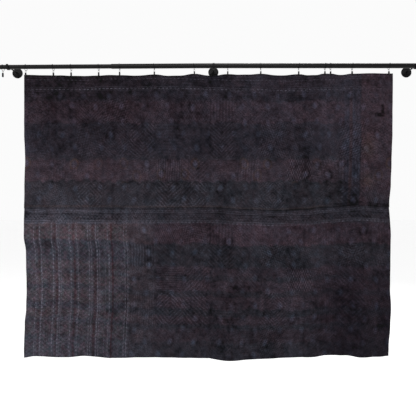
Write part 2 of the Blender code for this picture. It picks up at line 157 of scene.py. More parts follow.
# Place across, drop
HEM = np.array([
    (-1003, 1546), (-949, 1539), (-864, 1544), (-779, 1545), (-684, 1540), (-525, 1544.5),
    (-440, 1544.5), (-122, 1548), (5, 1551.5), (90, 1555), (259, 1554.5), (471, 1545),
    (553, 1547), (620, 1539.5), (683, 1538), (726, 1534), (789, 1540.5), (853, 1542), (905, 1544),
    (949, 1541),
]) / 1000.0
# Place across, half width, depth toward the back at the top and at the hem
FOLDS = np.array([
    (-890, 70, 2, 6), (-684, 85, 3, 9), (-525, 90, -3, -10), (-255, 120, 6, 5), (-20, 50, 4, 10),
    (90, 90, -3, -24), (330, 120, 4, 6), (620, 95, 3, 20), (789, 60, -2, -14), (940, 70, 0, 12),
]) / 1000.0
CREASES = np.array([
    (-527, 14, 0.8, 2.5), (-12, 14, 1.5, 3), (487, 14, 2.5, 1),
]) / 1000.0
LEFT, RIGHT = SIDES[0, 1:]
FULL_DROP = 1.545
BORDER_DROP = 0.761
# How far below the clips the bows of the spans die out and the folds begin
BOW_REACH = 0.20
FOLDS_BELOW = 0.25
PUCKER_WIDTH = 0.097
PUCKER_HEIGHT = 0.131
PUCKER_DEPTH = 0.0010

# %% [markdown]
# A cloth point is found from two numbers, the place across and the drop.  The depth is a
# sum of simple bumps: a bow in each span that dies out below the clips, and bell-shaped
# folds that start a hand's breadth lower.  Simulated cloth could make such folds too, but
# it would not put them where they hang on this quilt, so they are written out.

# %% The drape as a function of two numbers


def ease(t):
    """Smoothstep: 3t squared less 2t cubed between 0 and 1, level outside."""
    t = np.clip(t, 0.0, 1.0)
    return t * t * (3.0 - 2.0 * t)


def mix(first, second, share):
    """The first where the share is 0, the second where it is 1, and between them between."""
    return first + (second - first) * share


def bell(value, middle, half_width):
    """Bell curve: e to the minus square of the distance from the middle in half widths."""
    return np.exp(-(((value - middle) / half_width) ** 2))


def along(table, column, at):
    """A column of a table at each place, eased from one row to the next."""
    places, values = table[:, 0], table[:, column]
    i = np.clip(np.searchsorted(places, at) - 1, 0, len(places) - 2)
    return mix(values[i], values[i + 1], ease((at - places[i]) / (places[i + 1] - places[i])))


def span_at(x):
    """For each place, the row of the clip to its left and how far across the span it is."""
    level = 0.006
    i = np.clip(np.searchsorted(CLIPS[:, 0], x, side="right") - 1, 0, len(CLIPS) - 2)
    room = CLIPS[i + 1, 0] - CLIPS[i, 0] - 2.0 * level
    return i, np.clip((x - CLIPS[i, 0] - level) / room, 0.0, 1.0)


def edge_drop(x):
    """Drop of the top edge: a line from clip to clip, plus sag times 1 less cosine to the 4th."""
    i, t = span_at(x)
    line = mix(CLIPS[i, 1], CLIPS[i + 1, 1], t)
    return line + CLIPS[i, 3] * (1.0 - np.cos(np.pi * t) ** 4)


def seam_drop(x):
    """Drop of the selvedge that hangs over the lower length."""
    return along(SEAM, 1, x)


def hem_drop(x):
    """Drop of the hem."""
    return along(HEM, 1, x)


def border_level(x, drop):
    """Drop with the lower border drawn level, since it runs a little off the seam."""
    return drop - along(SEAM, 2, x) + BORDER_DROP


def swag_level(x, drop):
    """Drop with the top border drawn level; its swags die out below it."""
    return drop - along(SWAG, 1, x) * (1.0 - ease((drop - 0.12) / 0.25))


def drape_depth(x, drop):
    """Depth behind the rod: bow of the span, then folds, creases and wide puckers."""
    below = drop - edge_drop(x)
    i, t = span_at(x)
    bow = CLIPS[i, 4] * np.sin(np.pi * t) ** 2 * bell(below, 0.0, BOW_REACH)
    fall = drop / FULL_DROP
    folds = np.zeros_like(bow)
    for place, half, top, hem in FOLDS:
        folds += mix(top, hem, fall) * bell(x, place, half)
    for place, half, top, hem in CREASES:
        folds += mix(top, hem, fall) * ease(1.0 - np.abs(x - place) / half)
    wide = np.sin(2.0 * np.pi * (x / PUCKER_WIDTH + 0.5 * drop / PUCKER_HEIGHT))
    folds += PUCKER_DEPTH * wide * np.sin(2.0 * np.pi * drop / PUCKER_HEIGHT)
    return bow + ease(below / FOLDS_BELOW) * folds


def cloth_points(x, drop, depth):
    """Points of the cloth, drawn in with its side edges at each level."""
    left, right = along(SIDES, 1, drop), along(SIDES, 2, drop)
    across = left + (right - left) * (x - LEFT) / (RIGHT - LEFT)
    return np.stack([across, -STANDOFF + depth, -drop], axis=-1)


print("top edge drop", edge_drop(np.array([-0.9, 0.0, 0.9])).round(4))

# %% [markdown]
# ## Where the stitches run
# Kantha is running stitch through all the layers.  The rows turn from patch to patch:
# level, upright and slanting rows, rows that go round in diamonds, and chevrons.  Each
# band of patches is one row of a table: its top, its bottom and a letter for each patch.
# Real rows lie 4 to 6 mm apart, with stitches of 3 to 4 mm.  Both are drawn coarser here,
# at about 13 mm, because finer ones would not show at the distance of the picture.

# %% Stitch patches
ROW_SPACING = 0.0132
STITCH_STEP = 0.0135
SLANT = math.sqrt(0.5)
# One letter for a patch: - level, | upright, / and \ slanting, d diamonds, v chevrons, and
# : for the dotted weave of the end piece
UPPER_PATCHES = (
    (0.050, 0.170, "-|-/-|-\\-|-/|-"),
    (0.170, 0.295, "|-v\\|/-|v-/\\|-"),
    (0.295, 0.487, "ddvdd-dvdd/d\\|"),
    (0.487, 0.614, "-|\\-/|v-|\\-/|-"),
    (0.614, 0.775, "\\dd/dvdd\\dd/d-"),
)
LOWER_PATCHES = (
    (0.735, 0.835, "--------------"),
    (0.835, 0.945, "::::/-v|\\-/|-|"),
    (0.945, 1.065, "::::|\\/v\\d/\\d/"),
    (1.065, 1.200, "::::|-/|\\v-/\\v"),
    (1.200, 1.380, "::::|d\\-vd/|dd"),
    (1.380, 1.565, "::::|\\/d-\\v/d\\"),
)
# Each patch has its own pitch of rows, pitch of stitches, and tension, which makes them show.
# Tight thread draws the cloth in between the rows, so that some patches are ribbed all along
ROW_PITCH = np.random.default_rng(3).uniform(0.88, 1.25, (6, 14))
STEP_PITCH = np.random.default_rng(5).uniform(0.75, 1.30, (6, 14))
VOICE = 1.20 * np.random.default_rng(4).random((6, 14)) ** 1.6
RIBBED = np.random.default_rng(8).random((6, 14)) < 0.5
# Stitches show more on the slate bands, and are slack at the right and in a patch at the left
VOICE[2::2] = 0.18 + 1.10 * VOICE[2::2]
VOICE[:5, 13] *= 0.40
VOICE[1, 0] *= 0.45
DOT_STEP = 0.0212
DOT_VOICE = 0.42
print("patches in a band", len(UPPER_PATCHES[0][2]), "mean voice", VOICE.mean().round(2))

# %% [markdown]
# To draw the rows of a patch, each point of the cloth is told which patch it lies in, and
# how many rows and stitches it is from the patch's centre.  Hand-sewn rows are never quite
# straight, so soft noise moves them by up to 3 mm.

# %% Place of a point in the rows


def patch_at(patches, x, drop):
    """For each point: its patch's letter, how far right of and below its centre, and which."""
    tops = np.array([row[0] for row in patches])
    bottoms = np.array([row[1] for row in patches])
    letters = np.array([list(row[2]) for row in patches])
    i = np.clip(np.searchsorted(tops, drop, side="right") - 1, 0, len(patches) - 1)
    width = (RIGHT - LEFT) / letters.shape[1]
    column = np.clip((x - LEFT) / width, 0.0, letters.shape[1] - 0.001).astype(int)
    u = x - LEFT - width * (column + 0.5)
    return letters[i, column], u, drop - (tops[i] + bottoms[i]) / 2.0, (i, column)


def cloud(x, y, size, seed):
    """Soft noise from 0 to 1: random values on a lattice, eased from one to the next."""
    lattice = np.random.default_rng(seed).random((97, 97))
    u, v = x / size + 31.0, y / size + 17.0
    i, j = np.floor(u).astype(int), np.floor(v).astype(int)
    s, t = ease(u - i), ease(v - j)
    i, j, k, m = i % 97, j % 97, (i + 1) % 97, (j + 1) % 97
    top = mix(lattice[i, j], lattice[k, j], s)
    return mix(top, mix(lattice[i, m], lattice[k, m], s), t)


def wander(x, drop):
    """How far a hand-sewn row strays from its line, in metres."""
    return 0.006 * (cloud(x, drop, 0.045, 61) - 0.5)


def stitch_step(dotted, patch):
    """Distance from stitch to stitch along a row."""
    return np.where(dotted, DOT_STEP, STITCH_STEP * STEP_PITCH[patch])


def voice_of(dotted, patch):
    """How strongly a patch's stitches show."""
    return np.where(dotted, DOT_VOICE, VOICE[patch])


def row_place(patches, x, drop):
    """Place across the rows and along them in rows and stitches, tension, and if ribbed.

    Level rows measure down and across from the patch's centre, and upright ones the other
    way round.  Slanting rows take the sum and the difference over the square root of two,
    diamonds the same of the two sizes, and chevrons of the size of the one across.
    """
    letter, u, v, patch = patch_at(patches, x, drop)
    folded = (letter == "d") | (letter == "v")
    p = np.where(folded, np.abs(u), np.where(letter == "\\", -u, u))
    q = np.where(letter == "d", np.abs(v), v)
    slanted = folded | (letter == "/") | (letter == "\\")
    dotted = letter == ":"
    upright = dotted | (letter == "|")
    across = np.where(slanted, (p + q) * SLANT, np.where(upright, -u, v))
    forward = np.where(slanted, (p - q) * SLANT, np.where(upright, v, u))
    across = (across + wander(x, drop)) / (ROW_SPACING * ROW_PITCH[patch])
    step, voice = stitch_step(dotted, patch), voice_of(dotted, patch)
    return across, forward / step, voice, RIBBED[patch] & ~dotted


rows_away, stitches_away, _, _ = row_place(UPPER_PATCHES, np.array([0.0]), np.array([0.4]))
print("rows away", rows_away.round(2), "stitches away", stitches_away.round(2))

# %% [markdown]
# ## The overdyed print
# The sari lengths were striped in slate and maroon, with narrow patterned borders and a
# lighter end piece at the lower left.  The black dye took unevenly, so the colour is
# worked out per point of the cloth, from the bands up.  Each band begins at a drop and
# has a share of maroon, and the step from one to the next is softened by the dye.

# %% Dyes and bands
# Two colours for each part of the cloth, as they are seen after dyeing: slate and maroon
DYES = {
    "upper": ("#28252c", "#30282f"), "middle": ("#2d2a30", "#352d34"),
    "strip": ("#2c272d", "#352b32"), "lower": ("#2a282e", "#342b32"),
    # The corner's two colours carry painted shade as well as dye
    "end piece": ("#3c3b44", "#474046"), "corner": ("#1d191f", "#211a20"),
}
# Drop where each woven band starts, and its share of maroon
UPPER_BANDS = ((0.040, 0.30), (0.186, 1.00), (0.303, 0.10), (0.498, 1.00), (0.610, -0.10))
LOWER_BANDS = (
    (0.700, 0.15), (0.836, 1.00), (0.946, 0.00), (1.066, 0.65), (1.112, 0.20), (1.138, 0.75),
    (1.190, 0.15), (1.222, 0.70), (1.284, 0.00), (1.324, 0.65), (1.367, 0.05), (1.395, 0.50),
    (1.464, 0.10),
)
BAND_SOFTNESS = 0.012
# Colours of rusty places, of the selvedge, of the leaves' ochre rims and of printed lines
RUST, BROWN, OCHRE, GREY = "#4a3b38", "#46342c", "#4a382c", "#5c5a66"
# The upper length's strip begins here, and the lower length's end piece ends here
STRIP_LEFT = 0.780
END_RIGHT = -0.448


def blend(colour, hex_colour, share):
    """Move each point's colour toward a hex colour by its share."""
    return mix(colour, np.array(linear(hex_colour)), share[:, None])


def two_dyes(part, share):
    """Linear colour of a part of the cloth, at each point's share of its maroon."""
    slate, maroon = (np.array(linear(hex_colour)) for hex_colour in DYES[part])
    return mix(slate, maroon, share[:, None])


def band_share(bands, drop, soft):
    """Value of the band at each drop: the steps between bands added up, each one eased."""
    value = np.full_like(drop, bands[0][1])
    for (start, new), (_, old) in zip(bands[1:], bands):
        value += (new - old) * ease((drop - start) / soft + 0.5)
    return value


def between(value, low, high, soft):
    """1 between two limits and 0 outside, with eased sides."""
    return ease((value - low) / soft + 0.5) * ease((high - value) / soft + 0.5)


print("dyes of", *DYES)

# %% [markdown]
# ## Leaves and checks
# Small leaves were printed in staggered rows.  One place in each row and the pitch give
# the cell that a point lies in, and a few random numbers for each cell move, turn and fade
# its leaf.  The borders' checks are the product of two cosines, and blocks of the cloth
# took a little more or less dye.

# %% Printed leaves, checks and blocks
# Rows of printed leaves: their drop, and the place of one of them, in millimetres
LEAF_ROWS = np.array([
    (90, -494), (154, -558), (215, -494), (296, -479), (364, -544), (433, -472), (518, -479),
    (579, -541), (645, -472), (710, -541), (873, 280), (933, 215), (993, 165), (1057, -93),
    (1130, -165), (1200, -226), (1268, -165), (1335, -226), (1400, -165), (1465, -226),
    (1530, -165),
]) / 1000.0
LEAF_PITCH = 0.129
LEAF_HALF_WIDTH = 0.0125
LEAF_HALF_HEIGHT = 0.0185


def leaves(x, drop):
    """Heart and rim of the printed leaves: ovals in staggered rows, one in each cell."""
    table = np.random.default_rng(11).random((5, len(LEAF_ROWS), 19))
    limits = (LEAF_ROWS[1:, 0] + LEAF_ROWS[:-1, 0]) / 2.0
    row = np.searchsorted(limits, drop)
    column = np.round((x - LEAF_ROWS[row, 1]) / LEAF_PITCH)
    across, down, turn, weight, rim = table[:, row, column.astype(int) % 19]
    u = x - LEAF_ROWS[row, 1] - column * LEAF_PITCH - 0.014 * (across - 0.5)
    v = drop - LEAF_ROWS[row, 0] - 0.012 * (down - 0.5)
    turn = 0.8 * (turn - 0.5)
    u, v = u * np.cos(turn) + v * np.sin(turn), v * np.cos(turn) - u * np.sin(turn)
    oval = np.abs(u / LEAF_HALF_WIDTH) ** 1.8 + np.abs(v / LEAF_HALF_HEIGHT) ** 2.0
    heart = (0.32 + 0.68 * weight) * np.exp(-(oval**2.0)) * (row > 0)
    ring = bell(oval, 2.4, 0.9)
    return heart, ring * weight, ring * np.clip(2.5 * rim - 1.5, 0.0, 1.0)


def block_tone(x, drop, size, seed):
    """One random tone from -0.5 to 0.5 for each block of the cloth, blocks a little askew."""
    i = np.floor((x + 0.012 * np.sin(drop / 0.07)) / size).astype(int)
    j = np.floor((drop + 0.010 * np.sin(x / 0.09)) / (0.75 * size)).astype(int)
    return np.random.default_rng(seed).random((89, 89))[i % 89, j % 89] - 0.5


def beads(x, level, period, low, high):
    """A narrow band of small checks: the product of two cosines."""
    waves = np.cos(2.0 * np.pi * x / period) * np.cos(2.0 * np.pi * (level - low) / period)
    return waves * between(level, low, high, 0.005)


print("rows of leaves", len(LEAF_ROWS), "tallest", 2.0 * LEAF_HALF_HEIGHT)

# %% [markdown]
# ## What each length has of its own
# The upper length has a scalloped band, a strip at the right, a brown selvedge and a painted
# shadow in an L.  Its print is a colour, and a tone with painted shade that is added up from
# soft-edged lines.

# %% Print of the upper length
# Narrow upright stripes beside the strip: left side, right side, colour, strength
UPRIGHTS = (
    (0.696, 0.722, "#2b2932", 0.5), (0.722, 0.737, "#34292e", 0.5),
    (0.737, 0.777, "#302d36", 0.8), (0.777, 0.783, "#1e1b20", 0.4),
)


def upper_print(x, drop, ragged):
    """Colour and tone of the upper length before leaves and clouds."""
    # One maroon band has scalloped edges
    scallop = 0.014 * (np.abs(np.sin(2.0 * np.pi * x / LEAF_PITCH)) - 0.6)
    near_edge = between(drop, 0.575, 0.655, 0.02) + 0.7 * between(drop, 0.460, 0.520, 0.02)
    scalloped = ragged + scallop * near_edge
    share = band_share(UPPER_BANDS, scalloped, BAND_SOFTNESS)
    lower_half = ease((drop - 0.44) / 0.10)[:, None]
    colour = mix(two_dyes("upper", share), two_dyes("middle", share), lower_half)
    below = drop - edge_drop(x)
    above = drop - seam_drop(x)
    level = swag_level(x, drop)
    # The dye faded toward the right above and toward the left below
    tone_and_shade = -0.22 * ease((0.135 - level) / 0.02) - 0.18 * between(level, 0.128, 0.182, 0.02)
    fading = 1.20 * (x / 0.95) * (0.42 - np.maximum(drop, 0.12))
    in_strip = ease((x - STRIP_LEFT) / 0.006)
    tone_and_shade = (tone_and_shade + fading * ease((0.80 - x) / 0.05)) * (1.0 - in_strip)
    slate_corner = ease((ragged - 0.630) / 0.06) * ease((x - 0.800) / 0.06)
    colour = mix(colour, two_dyes("strip", 1.0 - slate_corner), in_strip[:, None])
    # Two rusty places beside the strip's stripes
    for place, half_height in ((0.430, 0.060), (0.610, 0.040)):
        rusty = bell(x, 0.822, 0.035) * bell(drop, place, half_height)
        colour = blend(colour, RUST, 0.40 * rusty * in_strip)
    worn = 0.5 + cloud(x, drop, 0.06, 35)
    for low, high, hex_colour, weight in UPRIGHTS:
        share = weight * between(x, low, high, 0.005) * ease((drop - 0.11) / 0.02)
        colour = blend(colour, hex_colour, share * worn)
    # Brown selvedge along the seam, dark at the right, with a painted shadow line under its
    # middle part, for the shade below the lapped edge
    left_of_strip = ease((0.64 - x) / 0.03)
    selvedge = between(above, -0.0150, -0.0070, 0.003)
    colour = blend(colour, BROWN, 0.14 * selvedge * left_of_strip)
    tone_and_shade = tone_and_shade - 0.30 * between(above, -0.0200, 0.01, 0.003) * ease((x - 0.62) / 0.03)
    line = between(above, -0.0065, -0.0020, 0.003) * ease((x + 0.34) / 0.02)
    tone_and_shade = tone_and_shade - 0.60 * line * left_of_strip
    # Dark outline below the scallops, where that edge is clear
    outline = bell(scalloped, 0.618, 0.0045) * cloud(x, drop, 0.11, 36)
    tone_and_shade = tone_and_shade - 0.50 * outline * ease((0.70 - x) / 0.02)
    # The top hem is darker along its edge, with a row of light stitches, and a painted shadow
    # in an L, as cast by the lower and right edges of a small patch
    tone_and_shade = tone_and_shade - 0.40 * (1.0 - ease(below / 0.009))
    dashes = ease(np.cos(2.0 * np.pi * x / 0.021) + 0.6)
    tone_and_shade = tone_and_shade + 0.35 * between(below, 0.009, 0.014, 0.004) * dashes
    painted_patch_shadow = np.maximum(
        between(x, 0.888, 0.904, 0.006) * between(drop, 0.205, 0.268, 0.010),
        between(x, 0.856, 0.908, 0.008) * between(drop, 0.248, 0.270, 0.006),
    )
    return colour, tone_and_shade - 0.75 * painted_patch_shadow * (0.6 + 0.8 * cloud(x, drop, 0.008, 21))


print("upright stripes", len(UPRIGHTS))

# %% [markdown]
# The lower length has the sheer end piece, which is lighter because thin cloth holds less
# dye.  Light dotted stripes and brown ones run down it.  A corner of the length took more
# dye than the rest.

# %% Print of the lower length
# Sheer end piece: light dotted stripes and brown ones, with the place across and the half
# width in millimetres and the strength in hundredths
LIGHT_STRIPES = np.array([
    (-954, 2.6, 62), (-923, 3.6, 76), (-861, 3.4, 71), (-830, 3, 76), (-819, 2.2, 50),
    (-765, 2.8, 58), (-728, 2.8, 62), (-668, 3.4, 59), (-655, 2.4, 59), (-623, 3.4, 63),
    (-610, 2.2, 46), (-580, 2, 34), (-559, 2.6, 59), (-474, 2.4, 55), (-460.5, 2.2, 50),
]) / (1000.0, 1000.0, 100.0)
BROWN_STRIPES = np.array([
    (-934, 4, 60), (-841, 5.2, 75), (-744, 6, 100), (-636, 8, 80), (-539, 4.2, 150),
    (-886, 15, 30), (-790, 15, 30), (-697, 16, 25),
]) / (1000.0, 1000.0, 100.0)
BROWN_TAKES = np.array([0.22, 0.43, 0.43])
# Lines along the lower border: top, bottom, softness, tone
BORDER_TONES = (
    (0.7805, 0.7865, 0.004, -0.28), (0.764, 0.771, 0.003, 0.06), (0.775, 0.780, 0.003, 0.10),
    (0.818, 0.838, 0.005, 0.15),
)


def lower_print(x, drop, ragged):
    """Colour and tone of the lower length before leaves and clouds."""
    level = border_level(x, drop)
    # The bands climb a little in the end piece
    climb = 0.026 * ease((-0.40 - x) / 0.10) + 0.014 * ease((-0.64 - x) / 0.16)
    climb = climb * ease((drop - 0.88) / 0.06)
    share = band_share(LOWER_BANDS, ragged - 0.6 * (drop - level) + climb, BAND_SOFTNESS)
    inside = between(x, LEFT - 0.1, END_RIGHT, 0.008) * ease((level - 0.745) / 0.012)
    sheer = 0.94 * inside + 0.55 * ease((-0.285 - x) / 0.07) * (1.0 - inside)
    pale = two_dyes("end piece", share) * (0.86 - 0.44 * (x + 0.45))[:, None]
    colour = mix(two_dyes("lower", share), pale, sheer[:, None])
    worn = inside * ease((level - 0.83) / 0.01) * (0.55 + 0.6 * cloud(x, drop, 0.08, 31))
    for place, half, weight in BROWN_STRIPES:
        share = weight * worn * between(x, place - half, place + half, 0.005)
        colour = colour * (1.0 - np.clip(share, 0.0, 1.0)[:, None] * BROWN_TAKES)
    # The lower right corner is darker: partly dye that took more there, and partly painted
    # shade on the side away from the key light
    corner = 0.80 * ease((x - 0.42) / 0.28) * (0.20 + 0.80 * ease((drop - 0.95) / 0.22))
    corner = corner * ease((drop - 0.83) / 0.02)
    dark = two_dyes("corner", band_share(LOWER_BANDS, ragged, BAND_SOFTNESS))
    colour = mix(colour, dark, corner[:, None])
    tone_and_shade = 0.40 * beads(x, level, 0.0198, 0.790, 0.812)
    for low, high, soft, weight in BORDER_TONES:
        tone_and_shade = tone_and_shade + weight * between(level, low, high, soft)
    tone_and_shade = tone_and_shade - 0.16 * between(level, 0.778, 0.830, 0.008) * inside
    # Painted shade along the bottom of the hem
    return colour, tone_and_shade - 0.15 * ease((drop - 1.53) / 0.01)


print("stripes of the end piece", len(LIGHT_STRIPES), len(BROWN_STRIPES))

# %% [markdown]
# ## Painted fold shade, wear and clouds
# Years of use and the second dyeing left soft dark and light places.  The large ones also
# paint the light and shade of the folds, and shade where the right edge turns away from the
# light.  They are listed as bell-shaped places in a table, and the small ones are noise of
# four sizes.

# %% Soft places and clouds
# Soft dark and light places, of uneven overdye and of painted fold light and shade: place
# across, drop, half width and half height in millimetres, and tone in hundredths
FOLD_SHADE_AND_DYE_PLACES = np.array([
    (-600, 240, 60, 170, -15), (-185, 210, 45, 110, -15), (-75, 250, 50, 190, -18),
    (205, 250, 45, 150, 15), (393, 290, 60, 180, -13), (510, 450, 65, 85, -16),
    (585, 240, 30, 120, 13), (805, 180, 40, 80, -16), (-180, 350, 40, 120, -14),
    (-240, 595, 55, 60, -20), (-600, 840, 38, 65, -26), (-280, 950, 110, 80, -15),
    (-65, 950, 80, 110, 10), (-400, 890, 34, 70, 16), (-860, 1170, 70, 90, 16),
    (-790, 1445, 95, 75, 18), (-435, 1340, 55, 60, -20), (-335, 1095, 45, 45, -16),
    (-560, 1095, 34, 34, -16), (-40, 1230, 35, 65, -18), (-30, 1460, 50, 60, -16),
    (60, 1345, 80, 130, -16), (235, 1430, 65, 85, -14), (610, 1240, 45, 110, 16),
    (625, 690, 160, 160, 7), (265, 735, 130, 55, 9), (900, 1330, 30, 130, -20),
    (800, 1430, 110, 80, -18), (45, 380, 55, 400, -14), (45, 1050, 50, 55, -13),
    (40, 1510, 50, 60, -12), (-940, 360, 60, 190, 12), (-930, 80, 50, 30, 14),
    (-940, 1330, 40, 60, 10), (-755, 1480, 70, 50, 9), (-600, 450, 50, 55, -12),
    (840, 75, 100, 35, -22), (280, 750, 120, 35, 8), (-630, 1110, 55, 30, -13),
    (-620, 915, 80, 30, 12), (-870, 1385, 80, 20, 13), (-660, 1430, 70, 50, 5),
    (-200, 1290, 280, 20, -13), (-200, 1375, 240, 18, -12), (-220, 1203, 200, 14, -10),
    (-280, 1090, 130, 18, -10), (120, 1255, 140, 22, -10), (-5, 1410, 400, 100, -3),
    (440, 965, 160, 14, -6), (60, 840, 100, 30, -7), (502, 595, 9, 110, -10),
    (-38, 550, 10, 60, -15), (-440, 600, 85, 100, 12), (-170, 675, 110, 75, -12),
    (500, 520, 90, 45, -11), (800, 360, 130, 60, -12), (790, 577, 110, 22, -16),
    (-440, 213, 80, 28, -22), (-440, 990, 80, 90, 11), (-440, 820, 80, 25, 14),
    (-440, 1118, 80, 22, -22), (-440, 1370, 80, 90, -10), (-750, 1500, 240, 50, 7),
    (-750, 1200, 240, 28, 7), (-750, 1255, 240, 15, -10), (-750, 780, 240, 20, -10),
    (-885, 950, 55, 50, -16), (-645, 960, 18, 55, -15),
]) / (1000.0, 1000.0, 1000.0, 1000.0, 100.0)
SHADE_GAIN = 1.3
# Blocks and clouds of dye: size, amount, seed
BLOCKS = ((0.120, 0.20, 40), (0.052, 0.22, 41))
CLOUDS = ((0.21, 0.30, 1), (0.062, 0.32, 2), (0.021, 0.44, 3), (0.0095, 0.52, 4))
# Creases, darker from rubbing and from painted shade in the fold: place across and tone
CREASE_WEAR_AND_SHADE = ((-0.531, 0.15), (-0.014, 0.12), (0.488, 0.21))
CREASE_HALF_WIDTH = 0.0055
print("soft places", len(FOLD_SHADE_AND_DYE_PLACES), "sizes of cloud", len(CLOUDS))

# %% [markdown]
# A point's colour is its print times its tone, tinted a little, and the tone also carries
# painted shade of the folds, creases and edges.  What the light of the scene adds is taken
# off, so that the cloth ends up as dark as it looks.  Dotted lines that are finer than the
# mesh are left to the shader.

# %% The dye of the whole cloth
# A matt surface sends back a little white light before the dye takes any, and the room
# gives the cloth more light than the white of the table, most of all near the top, so
# both are taken off
SURFACE_LIGHT = 0.0052
ROOM_LIGHT = 1.19
LAMP_LIGHT = 0.28
LAMP_REACH = 1.50


def dye_and_shade_colour(x, drop, panel):
    """Linear colour of each point of the front of the cloth."""
    teeth = 0.012 * (cloud(x, drop * 0.15, 0.014, 5) - 0.5)
    ragged = drop + teeth + 0.016 * (cloud(x, drop, 0.05, 6) - 0.5)
    colour, tone_and_shade = {"upper": upper_print, "lower": lower_print}[panel](x, drop, ragged)
    tone_and_shade = tone_and_shade + 1.0
    for size, amount, seed in BLOCKS:
        tone_and_shade = tone_and_shade + amount * block_tone(x, drop, size, seed)
    for size, amount, seed in CLOUDS:
        tone_and_shade = tone_and_shade + amount * (cloud(x, drop, size, seed) - 0.5)
    # A crease strays a little, and its wear and painted shade are uneven, the same all across it
    stray = 0.006 * (cloud(x * 0.0, drop, 0.12, 9) - 0.5)
    uneven = 0.75 + 0.5 * cloud(x * 0.0, drop, 0.060, 10)
    for place, strength in CREASE_WEAR_AND_SHADE:
        tone_and_shade = tone_and_shade - strength * uneven * bell(x, place + stray, CREASE_HALF_WIDTH)
    # Painted light and shade of the folds and the right edge, with uneven dye, from the table
    for place, level, half_width, half_height, shade in FOLD_SHADE_AND_DYE_PLACES:
        reach = ((x - place) / half_width) ** 2 + ((drop - level) / half_height) ** 2
        tone_and_shade = tone_and_shade + SHADE_GAIN * shade * np.exp(-reach)
    # The upper length's middle band took more dye along its top
    tone_and_shade = tone_and_shade - 0.12 * between(drop, 0.300, 0.345, 0.020) * ease((0.42 - x) / 0.10)
    # The left edge is paler above the seam and darker below, where the darkening is painted
    # shade against the light that its rounded rim catches from the key light
    left_edge_pale_and_shade = 0.45 * ease((drop - 0.15) / 0.02) - 0.60 * ease((drop - 0.70) / 0.05)
    tone_and_shade = tone_and_shade + left_edge_pale_and_shade * np.exp(-(x - LEFT) / 0.018)
    heart, ring, ochre = leaves(x, drop)
    colour = blend(colour, OCHRE, 0.35 * ochre * between(drop, 0.480, 0.620, 0.02))
    # Pink and green specks in the sheer end piece, and level streaks beside it
    specks = np.zeros_like(x)
    if panel == "lower":
        in_end = between(x, LEFT - 0.1, END_RIGHT, 0.02)
        heart = heart * (1.0 - 0.75 * in_end)
        specks = 0.26 * (cloud(x, drop, 0.009, 53) - 0.5) * in_end * ease((drop - 0.84) / 0.02)
        streaks = 0.22 * (cloud(x * 0.25, drop, 0.011, 54) - 0.5) * ease((drop - 1.05) / 0.05)
        tone_and_shade = tone_and_shade + streaks * (1.0 - in_end)
    # Warm and cool clouds, where one dye bath took more than the other
    warm = 0.11 * (cloud(x, drop, 0.045, 51) - 0.5) + 0.12 * (cloud(x, drop, 0.013, 52) - 0.5)
    # The dye is bluer and a little deeper right of the left third
    deeper = ease((x + 0.42) / 0.14)
    warm = warm - 0.030 * deeper + 0.03 * (1.0 - deeper) * ease((0.30 - drop) / 0.05)
    # Each of these moves red, green and blue in its own way; the leaves are bluish
    moves = ((warm, (1.0, -0.25, -0.5)), (specks, (1.0, -0.35, 0.15)), (heart, (-0.12, 0.03, 0.14)))
    tint = 1.0 + sum(amount[:, None] * np.array(way) for amount, way in moves)
    tone_and_shade = np.clip(tone_and_shade - 0.035 * deeper + 0.58 * heart - 0.20 * ring, 0.20, 2.6)
    light = ROOM_LIGHT + LAMP_LIGHT * np.exp(-drop / LAMP_REACH)
    seen = colour * tint * tone_and_shade[:, None]
    return np.clip((seen - SURFACE_LIGHT) / light[:, None], 0.0006, 1.0)


middle = np.array([0.0]), np.array([1.0])
print("dye at the middle", dye_and_shade_colour(*middle, "lower").round(4))

# %% [markdown]
# ## The cloth mesh
# Each length is one closed sheet, 3 mm thick.  The front is a fine grid, so that the
# quilting can be raised in its points, and the back is a grid of half as many cells each
# way.  A strip of faces round the edge joins the two and rounds the hem.

# %% Grid and relief of the cloth


def edge_loop(columns, rows):
    """Point numbers round a grid of (columns + 1) by (rows + 1) points, from the top left."""
    top = np.arange(columns) * (rows + 1)
    right = columns * (rows + 1) + np.arange(rows)
    bottom = np.arange(columns, 0, -1) * (rows + 1) + rows
    left = np.arange(rows, 0, -1)
    return np.concatenate([top, right, bottom, left])


def grid_faces(columns, rows, start, flip):
    """Quads of a grid whose points are numbered down each column in turn."""
    i, j = np.meshgrid(np.arange(columns), np.arange(rows), indexing="ij")
    a = (start + i * (rows + 1) + j).ravel()
    quads = np.stack([a, a + 1, a + rows + 2, a + rows + 1], axis=1)
    return quads[:, ::-1] if flip else quads


def sheet_side(columns, rows, drop_low, drop_high):
    """Place across and drop of each point of a grid between two level lines."""
    across = np.linspace(LEFT, RIGHT, columns + 1)
    x = np.repeat(across, rows + 1)
    share = np.tile(np.linspace(0.0, 1.0, rows + 1), columns + 1)
    return x, drop_low(x) + (drop_high(x) - drop_low(x)) * share


def free_of_clips(x, drop):
    """0 where a clip's jaws press the cloth flat, and 1 a little away from them."""
    i, _ = span_at(x)
    aside = np.minimum(np.abs(x - CLIPS[i, 0]), np.abs(x - CLIPS[i + 1, 0]))
    return np.maximum(ease((aside - 0.005) / 0.008), ease((drop - edge_drop(x) - 0.014) / 0.012))


def relief(patches, x, drop, rim):
    """Height of the quilting over the sheet: rows pressed down, cushions between them."""
    rows = -np.cos(2.0 * np.pi * row_place(patches, x, drop)[0])
    rough = cloud(x, drop, 0.030, 7) - 0.5
    fine = cloud(x, drop, 0.012, 8) - 0.5
    turned = 1.0 - ease(rim / 0.009)
    height = 0.00028 * rows + 0.0015 * rough + 0.0006 * fine + 0.0006 * turned
    return height * free_of_clips(x, drop)


print("quilting", relief(UPPER_PATCHES, np.array([0.0]), np.array([0.4]), 1.0).round(5))

